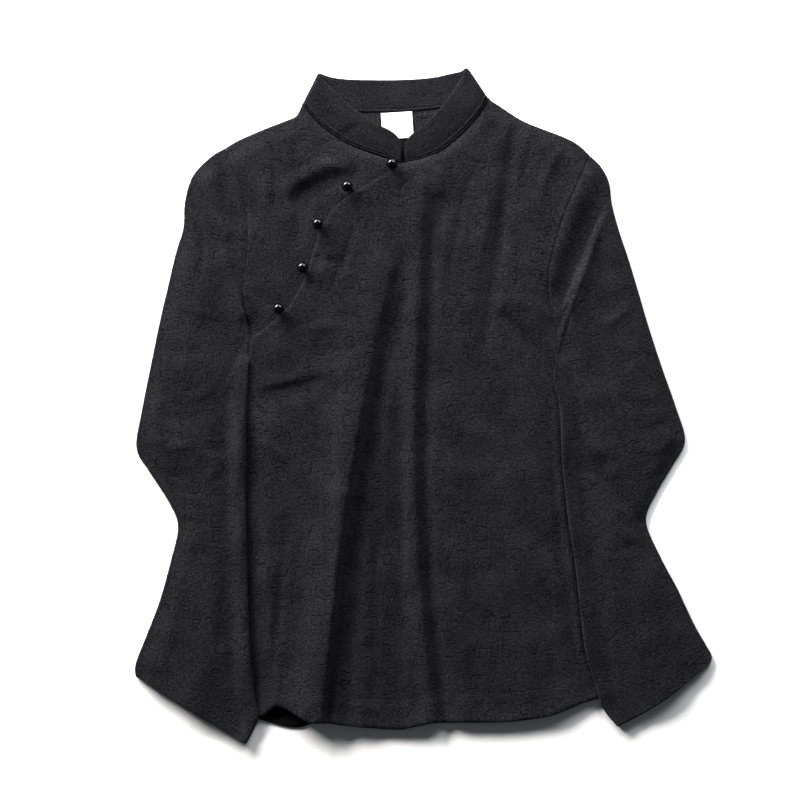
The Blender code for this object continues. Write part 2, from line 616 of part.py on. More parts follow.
def make_cord(name, points, radius, look_name, look):
    curve = bpy.data.curves.new(name, "CURVE")
    curve.dimensions = "3D"
    curve.bevel_depth = radius * MM
    curve.bevel_resolution = 2
    curve.use_fill_caps = True
    spline = curve.splines.new("POLY")
    spline.points.add(len(points) - 1)
    for point, spot in zip(spline.points, points):
        point.co = (*place(*spot), 1.0)
    curve.materials.append(material(look_name, look))
    cord = bpy.data.objects.new(name, curve)
    bpy.context.scene.collection.objects.link(cord)
    return cord


def make_piping():
    middle = CLOTH + LAYER_GAP + PIPING_LIFT
    for name, neck, room in (("right", NECK_RIGHT, PIPING_ROOM), ("left", NECK_LEFT[:-1], -PIPING_ROOM)):
        line = beside(through(neck, PIPING_STEP), room)[1:]
        make_cord("neck_piping_" + name, [(x, y, middle) for x, y in line], PIPING_RADIUS, "piping", PIPING)
    covered = int(NECK_CORNER / PIPING_STEP)
    line = beside(through(NECK_BACK, PIPING_STEP), PIPING_ROOM)[covered:-covered]
    path = [(x, y, BINDING_RADIUS + LAYER_GAP) for x, y in line]
    make_cord("back_neck_binding", path, BINDING_RADIUS, "piping", PIPING)


def make_label():
    turn = math.radians(LABEL_TILT)
    across = np.array((math.cos(turn), -math.sin(turn))) * LABEL_WIDTH
    down = np.array((math.sin(turn), math.cos(turn))) * LABEL_HEIGHT
    corner = np.array(LABEL_CORNER)
    plan = (corner, corner + across, corner + across + down, corner + down)
    low = CLOTH + LAYER_GAP
    corners = [place(*point, z) for z in (low, low + LABEL_THICK) for point in plan]
    faces = ((0, 1, 2, 3), (7, 6, 5, 4), (0, 4, 5, 1), (1, 5, 6, 2), (2, 6, 7, 3), (3, 7, 4, 0))
    return add_piece("size_label", corners, faces, "label_satin", SATIN)


def height_on(tree, x, y, reach):
    """Highest point of a panel under a small round footprint."""
    heights = []
    for turn in range(8):
        angle = math.radians(45.0 * turn)
        spot = place(x + reach * math.cos(angle), y + reach * math.sin(angle), RAY_START)
        hit = tree.ray_cast(spot, Vector((0.0, 0.0, -1.0)))[0]
        if hit:
            heights.append(hit.z / MM)
    return max(heights)


def button_profile():
    """Radius and height up a ball button: the shank's foot, the shank and the ball."""
    profile = [(SHANK_RADIUS, 0.0), (SHANK_RADIUS, SHANK_HEIGHT)]
    first = math.asin(SHANK_RADIUS * 1.1 / BUTTON_RADIUS)
    middle = SHANK_HEIGHT + BUTTON_RADIUS * math.cos(first)
    for angle in np.linspace(first, math.pi, 8)[:-1]:
        profile.append((BUTTON_RADIUS * math.sin(angle), middle - BUTTON_RADIUS * math.cos(angle)))
    return profile, middle + BUTTON_RADIUS


def make_button(name, x, y, foot):
    profile, crown = button_profile()
    sides = BUTTON_SIDES
    corners = []
    for radius, rise in profile:
        for k in range(sides):
            angle = 2.0 * math.pi * k / sides
            corners.append(place(x + radius * math.cos(angle), y - radius * math.sin(angle), foot + rise))
    corners.append(place(x, y, foot + crown))
    faces = [tuple(range(sides - 1, -1, -1))]
    for i in range(len(profile) - 1):
        for k in range(sides):
            n = (k + 1) % sides
            faces.append((i * sides + k, i * sides + n, (i + 1) * sides + n, (i + 1) * sides + k))
    last = (len(profile) - 1) * sides
    faces += [(last + k, last + (k + 1) % sides, len(corners) - 1) for k in range(sides)]
    return add_piece(name, corners, faces, "button_black", BALL)


def make_loop(name, x, y, tree):
    """A thin cord round a button's shank, with both ends at the edge of the flap."""
    edge = through(FLAP, 1.0)
    gaps = edge - (x, y)
    distance = np.hypot(gaps[:, 0], gaps[:, 1])
    towards = gaps[distance.argmin()] / distance.min()
    aside = np.array((towards[1], -towards[0]))
    bend = SHANK_RADIUS + LAYER_GAP + LOOP_RADIUS
    leg = distance.min() - 2.0 * SEAM_GAP
    centre = np.array((x, y))
    points = [centre + towards * leg + aside * bend]
    for angle in np.linspace(0.0, math.pi, 8):
        points.append(centre + bend * (aside * math.cos(angle) - towards * math.sin(angle)))
    points.append(centre + towards * leg - aside * bend)
    z = max(height_on(tree, *point, LOOP_RADIUS) for point in points) + LAYER_GAP + LOOP_RADIUS
    return make_cord(name, [(*point, z) for point in points], LOOP_RADIUS, "piping", PIPING)


def make_fastenings(underlap):
    tree = BVHTree.FromObject(underlap, bpy.context.evaluated_depsgraph_get())
    for number, (x, y) in enumerate(BUTTONS, start=1):
        foot = height_on(tree, x, y, SHANK_RADIUS) + LAYER_GAP
        make_button(f"button_{number}", x, y, foot)
        make_loop(f"button_loop_{number}", x, y, tree)


def main():
    for thing in list(bpy.data.objects):
        bpy.data.objects.remove(thing, do_unlink=True)
    make_back()
    underlap = make_underlap()
    make_main_front()
    make_sleeve("right_sleeve", RIGHT_SLEEVE, RIGHT_ARMHOLE, -1.0, SIDES[0], RIGHT_CUFF_BOW)
    make_sleeve("left_sleeve", LEFT_SLEEVE, LEFT_ARMHOLE, 1.0, SIDES[1], LEFT_CUFF_BOW)
    make_collar()
    make_piping()
    make_label()
    bpy.context.view_layer.update()
    make_fastenings(underlap)


main()
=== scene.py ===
import math

import bmesh
import bpy
import numpy as np
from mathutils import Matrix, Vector, noise
from mathutils.bvhtree import BVHTree
from mathutils.geometry import delaunay_2d_cdt


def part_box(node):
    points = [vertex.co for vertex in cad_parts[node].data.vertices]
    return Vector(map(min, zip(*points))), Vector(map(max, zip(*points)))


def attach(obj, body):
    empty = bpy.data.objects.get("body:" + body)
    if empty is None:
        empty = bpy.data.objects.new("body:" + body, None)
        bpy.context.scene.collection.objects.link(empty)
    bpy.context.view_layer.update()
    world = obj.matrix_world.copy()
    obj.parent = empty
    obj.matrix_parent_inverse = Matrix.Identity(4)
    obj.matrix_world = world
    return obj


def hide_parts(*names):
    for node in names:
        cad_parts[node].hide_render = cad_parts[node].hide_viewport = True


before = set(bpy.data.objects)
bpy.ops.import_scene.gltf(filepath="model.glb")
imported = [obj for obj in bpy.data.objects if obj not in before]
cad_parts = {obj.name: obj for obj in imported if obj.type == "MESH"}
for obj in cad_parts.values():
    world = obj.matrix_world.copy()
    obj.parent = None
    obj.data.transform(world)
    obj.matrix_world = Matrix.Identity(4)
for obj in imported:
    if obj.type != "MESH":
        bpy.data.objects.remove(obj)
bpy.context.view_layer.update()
scene = bpy.context.scene

table = {"centreX": 423.5, "centreY": 406.0}        # laying table position of the frame's origin
cloth = {
    "wall": 1.3, "layerGap": 0.3, "seamGap": 0.3,
    "flapSlack": 0.8,                   # extra rise of the flap over the underlap
    "tubeGap": 0.4,                     # air inside a sleeve where its two sides lie on each other
    "loft": 3.0,                        # usual height of the cloth over the layer under it
    "edgeFade": 18.0, "neckFade": 9.0, "sideFade": 26.0, "flatStrip": 6.0,
    "grid": 3.2,                        # spacing of points on the panels
    "edgeStep": 3.0,
    "rimRound": 0.55,                   # the turned edges are rounded by this much
    "puckers": ((40.0, 1.7, 3.1), (16.0, 0.95, 7.7), (7.5, 0.3, 1.9)),      # size, height and seed of the slack
    "creaseDepth": 1.7,                 # the small creases are this much deeper than in their table
}


def toFrame(points):
    points = np.asarray(points, dtype=float)
    out = np.empty((len(points), 3))
    out[:, 0] = points[:, 0] - table["centreX"]
    out[:, 1] = table["centreY"] - points[:, 1]
    out[:, 2] = points[:, 2] if points.shape[1] > 2 else 0.0
    return out * 0.001


def smoothStep(value):
    value = np.clip(value, 0.0, 1.0)
    return value * value * (3.0 - 2.0 * value)


def through(points, step):
    # a smooth curve through the rows of a table, cut into equal steps of its first two columns
    rows = np.array(points, dtype=float)
    rows = np.vstack((2.0 * rows[0] - rows[1], rows, 2.0 * rows[-1] - rows[-2]))
    fine = []
    for i in range(1, len(rows) - 2):
        a, b, c, d = rows[i - 1:i + 3]
        for t in np.linspace(0.0, 1.0, 12, endpoint=False):
            fine.append(0.5 * (2.0 * b + (c - a) * t + (2.0 * a - 5.0 * b + 4.0 * c - d) * t ** 2
                               + (3.0 * b - a - 3.0 * c + d) * t ** 3))
    fine = np.array(fine + [rows[-2]])
    along = np.concatenate(([0.0], np.cumsum(np.hypot(*(np.diff(fine[:, :2], axis=0).T)))))
    wanted = np.linspace(0.0, along[-1], max(2, int(round(along[-1] / step)) + 1))
    return np.column_stack([np.interp(wanted, along, fine[:, k]) for k in range(fine.shape[1])])


def beside(line, distance):
    run = np.gradient(line, axis=0)
    run /= np.hypot(run[:, 0], run[:, 1])[:, None]
    return line + distance * np.column_stack((run[:, 1], -run[:, 0]))


def nearest(points, line, reach=None):
    # distance to a line, its side (-1 left to 1 right of the run) and the share of the way along it
    best = np.full(len(points), 1.0e4)
    side = np.zeros(len(points))
    share = np.zeros(len(points))
    chosen = np.arange(len(points))
    if reach:
        low, high = line.min(axis=0) - reach, line.max(axis=0) + reach
        chosen = np.nonzero(((points > low) & (points < high)).all(axis=1))[0]
    near = points[chosen]
    distance, across, along = best[chosen], side[chosen], share[chosen]
    lengths = np.hypot(*(np.diff(line, axis=0).T))
    starts = np.concatenate(([0.0], np.cumsum(lengths)))
    for i, length in enumerate(lengths):
        run = (line[i + 1] - line[i]) / length
        t = np.clip((near - line[i]) @ run, 0.0, length)
        gap = near - line[i] - t[:, None] * run
        far = np.hypot(gap[:, 0], gap[:, 1])
        closer = far < distance
        distance = np.where(closer, far, distance)
        turn = (gap[:, 0] * run[1] - gap[:, 1] * run[0]) / np.maximum(far, 1.0e-9)
        across = np.where(closer, turn, across)
        along = np.where(closer, (starts[i] + t) / starts[-1], along)
    best[chosen], side[chosen], share[chosen] = distance, across, along
    return best, side, share


# Seam lines of the laid garment, from the neck towards the hem
seams = {
    "rightShoulder": ((302, 106), (296, 116.5), (286, 121), (263, 130), (240, 140), (226, 148)),
    "rightArmhole": ((226, 148), (235, 172), (243, 194), (247, 220), (247, 251), (243, 286), (243, 308), (251, 335)),
    "rightSide": ((251, 335), (250.2, 346), (249.8, 356), (247.5, 370), (243, 390), (241, 430), (241, 500), (243, 600),
                  (246, 670), (252, 717)),
    "leftShoulder": ((489, 100), (499, 106), (519, 119), (534, 126), (563, 137), (578, 145), (590, 156)),
    "leftArmhole": ((590, 156), (578, 182), (565, 212), (556, 240), (550, 264), (548, 288), (551, 310), (558, 335)),
    "leftSide": ((558, 335), (558.2, 346), (556.4, 356), (557, 370), (561, 390), (565, 420), (566, 450), (573, 520),
                 (579, 560), (584, 600), (590, 650), (596, 675), (603, 697)),
    "flap": ((402, 166), (379, 178), (354, 193), (338, 205), (327, 218), (319, 234), (312, 256), (307, 274),
             (298, 292), (288, 308), (275, 320), (263, 330), (252, 337)),
    "backHem": ((252, 717), (262, 720), (283, 726), (299, 727.5), (311, 724), (325, 723), (350, 726), (382, 729),
                (401, 729.5), (420, 726), (440, 723), (497, 722.5), (527, 720), (554, 715), (581, 704), (603, 697)),
    "frontHem": ((252, 716), (264, 715), (278, 706), (298, 715), (311, 721.5), (325, 722), (350, 725.5), (382, 728),
                 (401, 728.5), (420, 725), (440, 722), (497, 721.5), (527, 719), (554, 714), (581, 703), (603, 696)),
    "underlapHidden": ((402, 163), (424, 172), (424, 190), (402, 225), (374, 262), (344, 298), (318, 325), (290, 342),
                       (252, 347)),
}

# Sleeve sections across the arm, from the armhole to the cuff: outer x and y, inner x and y
rightSleeveRows = (
    (226, 148, 251, 335), (211, 157, 249.7, 339), (193, 176, 249.5, 345), (185, 202, 249.3, 353),
    (183.5, 228, 249, 362), (176, 253, 248.5, 371), (168, 287, 248, 382), (160, 321, 247, 395), (151, 365, 246, 412),
    (142, 410, 246, 430), (136.5, 448, 246, 450), (149, 471, 246, 475), (169.5, 503, 246, 505),
    (178, 527, 246.5, 533), (171, 560, 247.5, 568), (160, 600, 248.5, 608), (147.5, 633, 250.5, 650),
    (137.5, 658, 256, 700), (135, 668, 259, 718), (136, 676, 247, 743))
leftSleeveRows = (
    (590, 156, 558, 335), (601, 167, 559.3, 339), (609, 183, 559.1, 345), (612, 205, 557.9, 352),
    (619, 231, 556.5, 360), (628, 258, 554.5, 369), (638, 291, 553.5, 377), (648, 325, 555, 387), (661, 365, 558, 399),
    (675, 405, 560, 415), (685, 440, 561, 440), (674, 463, 562, 463), (657, 492, 565, 492), (646, 521, 568, 520),
    (660, 556, 574, 558), (677, 588, 579, 600), (693, 622, 585, 650), (706, 645, 597, 690), (711.5, 655, 602, 708),
    (711, 661, 617, 726))

# Collar band sections: x and y at the neck seam, x and y at the top edge, height at the seam and at the top
collarRight = (
    (401, 163, 401.5, 148, 4.2, 5.2), (396, 161.5, 399, 139, 4.2, 6.0), (386, 158, 391, 131.5, 4.2, 6.6),
    (365, 151, 375, 123.5, 4.4, 7.0), (346, 143, 358, 112, 4.8, 7.2), (323, 128, 339, 95.5, 5.6, 6.8),
    (309, 113, 324.5, 81, 6.2, 6.2))
collarBack = (
    (312, 109, 330, 77, 1, 1), (330, 110.5, 342, 79, 1, 1), (356, 112, 362, 80, 1, 1), (400, 112, 400, 80, 1, 1),
    (430, 109.5, 430, 78, 1, 1), (460, 105.5, 450, 74, 1, 1), (478, 103, 461, 71.5, 1, 1))
collarLeft = (
    (483, 109, 461.5, 77.5, 6.2, 6.2), (477, 118, 454.5, 89, 5.8, 6.8), (461, 135, 443.5, 104.5, 4.8, 7.2),
    (441, 151, 430, 119.5, 4.4, 7.0), (424, 158.5, 417, 130.5, 4.3, 6.6), (412, 161.5, 408.5, 138, 4.2, 6.0),
    (405, 163, 404.5, 148, 4.2, 5.2))
rightCrease = (302, 106, 318, 74, 1, 6.2)
leftCrease = (489, 100, 468, 69, 1, 6.2)

# Folds and creases as curves through three points: x0 y0 x1 y1 x2 y2, then the heights there (a trough is
# below zero), then how far each reaches to the left and right of its run
folds = (
    # the two long body folds, their troughs and the large slack
    (389, 272, 347, 490, 321, 716, 4, 9.5, 12.5, 42, 10), (402, 300, 362, 500, 347, 720, -2.5, -3, -3, 11, 16),
    (348, 290, 340, 500, 334, 716, 0, 3.5, 4, 12, 62), (410, 330, 402, 520, 402, 716, -1, -2.5, -2, 46, 8),
    (424, 185, 413, 470, 434, 722, 3, 4.5, 3.5, 16, 10), (437, 200, 424, 480, 446, 722, -3, -3.5, -3, 8, 14),
    (514, 130, 500, 232, 478, 388, -2.8, -3.4, -0.8, 8, 14), (500, 140, 484, 230, 465, 335, 1.5, 2.6, 0.6, 18, 11),
    (492, 302, 520, 302, 553, 314, 0.5, 1.8, 1.6, 15, 12), (503, 316, 528, 344, 552, 374, -2.5, -3.5, -3.5, 10, 10),
    (352, 178, 322, 186, 301, 200, -2.5, -4, -3.5, 15, 16), (346, 165, 318, 170, 288, 187, 1.5, 3, 2.5, 12, 14), (303, 196, 300, 218, 297, 254, -3.5, -3.5, -0.5, 12, 18),
    (254, 396, 285, 389, 318, 381, -3.5, -4, -2, 22, 8), (308, 396, 322, 440, 341, 484, -2, -3.5, -1.5, 7, 13),
    (394, 560, 403, 602, 415, 648, 0, -2.5, 0, 8, 9),
    # right sleeve, large
    (196, 196, 224, 253, 246, 316, 2.5, 3.5, 2, 18, 7), (246, 316, 249, 345, 226, 396, 2, 2, 0, 14, 6),
    (206, 172, 215, 200, 227, 232, 3, 4, 2, 10, 12), (222, 164, 230, 190, 238, 226, -2.5, -4, -2, 13, 6), (203, 446, 225, 453, 250, 445, -1, -4, -3.5, 6, 16),
    (206, 198, 222, 207, 241, 212, -2, -4, -2.5, 22, 28),
    (172, 532, 183, 524, 196, 519, -3, -2, 0, 8, 8), (214, 250, 190, 380, 196, 470, 0, 3, 0, 30, 30),
    (212, 530, 205, 620, 193, 714, 0, 2.5, 2.8, 36, 36),
    # left sleeve, large
    (596, 160, 568, 214, 552, 276, 2, 4, 2.5, 10, 20),
    (611, 205, 588, 258, 564, 326, 1.6, 2.2, 1.6, 5, 18), (564, 326, 556, 350, 554, 378, 2, 2.5, 1.3, 6, 14),
    (554, 378, 588, 436, 636, 510, 1.3, 3.8, 1, 7, 18), (613, 184, 587, 243, 561, 306, -4, -5, -3.5, 24, 3.5),
    (560, 469, 585, 471, 608, 463, -3, -3.5, -1.5, 10, 17), (566, 408, 588, 452, 620, 504, -2, -3, -1, 9, 8),
    (567, 312, 568, 322, 566, 338, -3, -4, -3, 13, 4), (622, 300, 630, 390, 640, 440, 0, 3, 0, 30, 30), (604, 520, 628, 600, 664, 697, 0, 2.5, 2.8, 36, 36))

# Small creases, in the same columns
creases = (
    # body, small creases
    (256, 440, 276, 452, 300, 478, 0.8, 1.0, 0, 7, 8),
    (266, 500, 268, 570, 270, 650, 0.4, 0.8, 0.5, 9, 9), (286, 520, 281, 590, 272, 668, -0.4, -1.2, -1, 8, 8),
    (380, 430, 376, 560, 374, 700, -0.2, -0.8, -0.6, 9, 10), (392, 340, 388, 420, 390, 520, 0.4, 0.9, 0, 9, 9),
    (452, 430, 458, 570, 468, 716, 0.3, 0.9, 0.7, 14, 14), (486, 500, 490, 600, 500, 712, 0, -0.5, -0.6, 12, 11),
    (512, 420, 516, 540, 530, 706, 0.3, 0.7, 0.8, 15, 15), (540, 500, 548, 600, 558, 700, 0, -0.5, -0.5, 11, 10),
    (560, 150, 545, 180, 538, 215, 1.0, 1.2, 0, 8, 8), (532, 140, 524, 175, 520, 212, -0.8, -1, 0, 6, 6),
    (470, 180, 455, 240, 447, 300, -0.8, -1.2, 0, 7, 7), (440, 175, 436, 230, 438, 290, 0.8, 1.2, 0.4, 8, 8),
    (330, 240, 322, 272, 306, 300, 0.8, 1.0, 0, 7, 7), (352, 232, 343, 262, 330, 290, -0.8, -1.5, -0.6, 7, 7),
    (300, 332, 330, 326, 356, 330, 0.4, 0.7, 0, 9, 8), (318, 258, 334, 262, 352, 268, -0.6, -1.4, -0.4, 7, 6),
    (556, 430, 560, 520, 568, 600, -0.8, -1.2, 0, 7, 7), (262, 150, 268, 185, 262, 225, 0.8, 1.2, 0, 8, 8),
    (285, 140, 292, 165, 305, 180, 0.6, 1.0, 0.4, 7, 7), (255, 240, 270, 262, 282, 290, -0.8, -1.2, -0.6, 6, 7),
    (310, 160, 330, 165, 350, 172, 0.6, 1.0, 0, 6, 6),
    # right sleeve, small creases
    (196, 210, 203, 245, 200, 285, -0.8, -1.2, 0, 7, 7), (178, 300, 196, 312, 222, 316, 0, 0.9, 0.4, 6, 7),
    (160, 342, 182, 352, 214, 350, 0, -0.5, 0, 8, 9), (170, 392, 192, 398, 224, 380, 0.2, 0.8, 0, 8, 9),
    (150, 408, 176, 420, 198, 414, 0, -0.5, 0, 8, 9), (152, 436, 176, 446, 210, 440, 0.5, 0.8, 0.2, 10, 8),
    (154, 466, 172, 476, 196, 470, -0.3, -0.8, 0, 8, 9), (172, 500, 190, 498, 216, 506, 0.3, 0.7, 0, 8, 7),
    (240, 462, 222, 474, 206, 492, -1, -1.2, 0, 6, 6), (178, 548, 196, 552, 218, 560, -0.3, -0.6, 0, 9, 8),
    (226, 590, 220, 640, 216, 706, -0.2, -0.7, -0.5, 9, 9), (182, 590, 174, 624, 162, 668, 0.3, 0.6, 0.5, 11, 11),
    # left sleeve, small creases
    (596, 215, 590, 255, 580, 290, 0.8, 1.1, 0, 7, 7), (634, 300, 618, 318, 600, 324, 0, 0.9, 0.4, 7, 6),
    (652, 350, 632, 358, 606, 354, 0, -0.5, 0, 9, 8), (662, 392, 640, 398, 612, 384, 0.2, 0.8, 0, 9, 8),
    (674, 416, 650, 430, 628, 424, 0, -0.5, 0, 9, 8), (674, 440, 652, 450, 632, 446, 0.4, 0.8, 0.2, 9, 9),
    (664, 470, 652, 480, 636, 482, -0.3, -0.7, 0, 9, 8), (610, 520, 624, 534, 642, 540, 0.3, 0.7, 0, 8, 8),
    (566, 480, 580, 492, 596, 512, -1, -1.2, 0, 6, 6), (650, 552, 630, 548, 604, 556, -0.3, -0.6, 0, 9, 8),
    (600, 566, 612, 620, 628, 690, -0.2, -0.7, -0.5, 9, 9), (640, 566, 658, 612, 682, 658, 0.3, 0.6, 0.5, 11, 11))

seamLine = {name: through(points, cloth["edgeStep"]) for name, points in seams.items()}
sideLines = (seamLine["rightSide"], seamLine["leftSide"])


def neckLine(rows, first, last=()):
    return np.array([first] + [row[:2] for row in rows] + list(last), dtype=float)


neckRight = neckLine(collarRight[::-1], (302, 106))         # from the crease to the centre front
neckLeft = neckLine(collarLeft, (489, 100), [(402, 166)])
neckBack = neckLine(collarBack, (302, 107.5), [(489, 101.5)])
outerEdges = (
    seamLine["rightShoulder"], seamLine["leftShoulder"],
    np.array([row[:2] for row in rightSleeveRows], dtype=float),
    np.array([row[:2] for row in leftSleeveRows], dtype=float))


def foldCurve(fold):
    start, middle, end = np.array(fold[:6], dtype=float).reshape(3, 2)
    bend = 2.0 * middle - 0.5 * (start + end)
    t = np.linspace(0.0, 1.0, 15)[:, None]
    return (1.0 - t) ** 2 * start + 2.0 * t * (1.0 - t) * bend + t ** 2 * end


def foldHeight(points, fold):
    left, right = fold[9:]
    distance, side, along = nearest(points, foldCurve(fold), max(left, right))
    reach = left + (right - left) * 0.5 * (side + 1.0)
    height = np.interp(along, (0.0, 0.5, 1.0), fold[6:9])
    return height * 0.5 * (1.0 + np.cos(math.pi * np.minimum(distance / reach, 1.0)))


def slack(points):
    # the crepe's own small unevenness
    total = np.zeros(len(points))
    for size, height, seed in cloth["puckers"]:
        total += height * np.array([noise.noise((x / size, y / size * 0.8, seed)) for x, y in points.tolist()])
    return total


def relief(points):
    raised = np.full(len(points), cloth["loft"]) + slack(points)
    for fold in folds:
        raised += foldHeight(points, fold)
    for crease in creases:
        raised += cloth["creaseDepth"] * foldHeight(points, crease)
    raised = 0.5 * (raised + np.sqrt(raised * raised + 1.0))
    for edge in outerEdges:
        raised *= smoothStep(nearest(points, edge, cloth["edgeFade"])[0] / cloth["edgeFade"])
    for edge in (neckRight, neckLeft):
        raised *= smoothStep(nearest(points, edge, cloth["neckFade"])[0] / cloth["neckFade"])
    for edge in sideLines:
        distance = nearest(points, edge, cloth["sideFade"] + cloth["flatStrip"])[0]
        raised *= smoothStep((distance - cloth["flatStrip"]) / cloth["sideFade"])
    return raised


def seamDip(points, line, depth=0.55, width=1.6):
    # cloth rolls down into a seam
    distance = nearest(points, line, 6.0 * width)[0]
    return -depth * np.exp(-(distance / width) ** 2)


def hemForm(points, line, hem):
    # a turned-up hem stands a little proud as far as its stitching, which is sunk and puckered, and its edge curls
    distance, _, along = nearest(points, line, hem["depth"] * 1.5)
    length = np.hypot(*(np.diff(line, axis=0).T)).sum()
    proud = hem["rise"] * smoothStep((hem["depth"] - distance) / 2.0 + 0.5)
    sunk = hem["sink"] * np.exp(-((distance - hem["depth"]) / hem["width"]) ** 2)
    wave = np.sin(along * length / hem["pucker"] * 2.0 * math.pi + 1.7 * np.sin(along * length / 47.0))
    near = np.exp(-((distance - hem["depth"]) / (2.5 * hem["width"])) ** 2)
    curl = hem["curl"] * np.exp(-(distance / hem["curlWidth"]) ** 2)
    return proud - sunk + curl + hem["puckerRise"] * wave * near


# Material helpers
def hexColour(text):
    parts = [int(text[i:i + 2], 16) / 255.0 for i in (1, 3, 5)]
    return (*[c / 12.92 if c <= 0.04045 else ((c + 0.055) / 1.055) ** 2.4 for c in parts], 1.0)


def addNode(tree, kind, look=None, inputs=None, links=None):
    node = tree.nodes.new("ShaderNode" + kind)
    for name, value in (look or {}).items():
        setattr(node, name, value)
    for name, value in (inputs or {}).items():
        node.inputs[name].default_value = value
    for name, source in (links or {}).items():
        tree.links.new(source, node.inputs[name])
    return node


def newMaterial(name):
    made = bpy.data.materials.new(name)
    made.use_nodes = True
    made.node_tree.nodes.clear()
    return made, made.node_tree


# Crinkled viscose crepe, woven with a small figure: near black, matt, pebbled all over, with broken sunken
# outlines of rounded squares and wandering lines, which catch less light than the ground
crepe = {
    # dark and light are the ends of the ground's tone, which is partly random tone and partly a painted highlight,
    # lighter where the pebbles and threads are raised
    "dark": "#030304", "light": "#1f1f23", "outline": "#070708",
    "roughness": 0.9, "sheen": 0.03, "sheenRoughness": 0.5, "specular": 0.06,
    # figures: cell in mm, stretch across and down, size range as shares of the cell, share drawn, shift
    "figures": (
        {"cell": 27.0, "stretch": (1.0, 1.12), "small": 0.13, "large": 0.24, "share": 0.66, "shift": (0.0, 0.0)},
        {"cell": 27.0, "stretch": (1.0, 1.12), "small": 0.07, "large": 0.14, "share": 0.26, "shift": (0.13, 0.17)},
        {"cell": 36.0, "stretch": (1.45, 0.8), "small": 0.10, "large": 0.20, "share": 0.5, "shift": (4.3, 7.9)},
        {"cell": 19.0, "stretch": (0.9, 1.2), "small": 0.14, "large": 0.26, "share": 0.4, "shift": (9.1, 3.7)},
    ),
    "lineWidth": 0.95,                  # mm, of the outlines
    "wander": 34.0,                     # mm, size of the wandering lines' bends
    "pebble": 2.3, "slub": 1.15,        # mm; threads are finer, and are drawn this coarse to show
    "pebbleRise": 1.4, "slubRise": 0.35, "sink": 0.62,       # mm
}


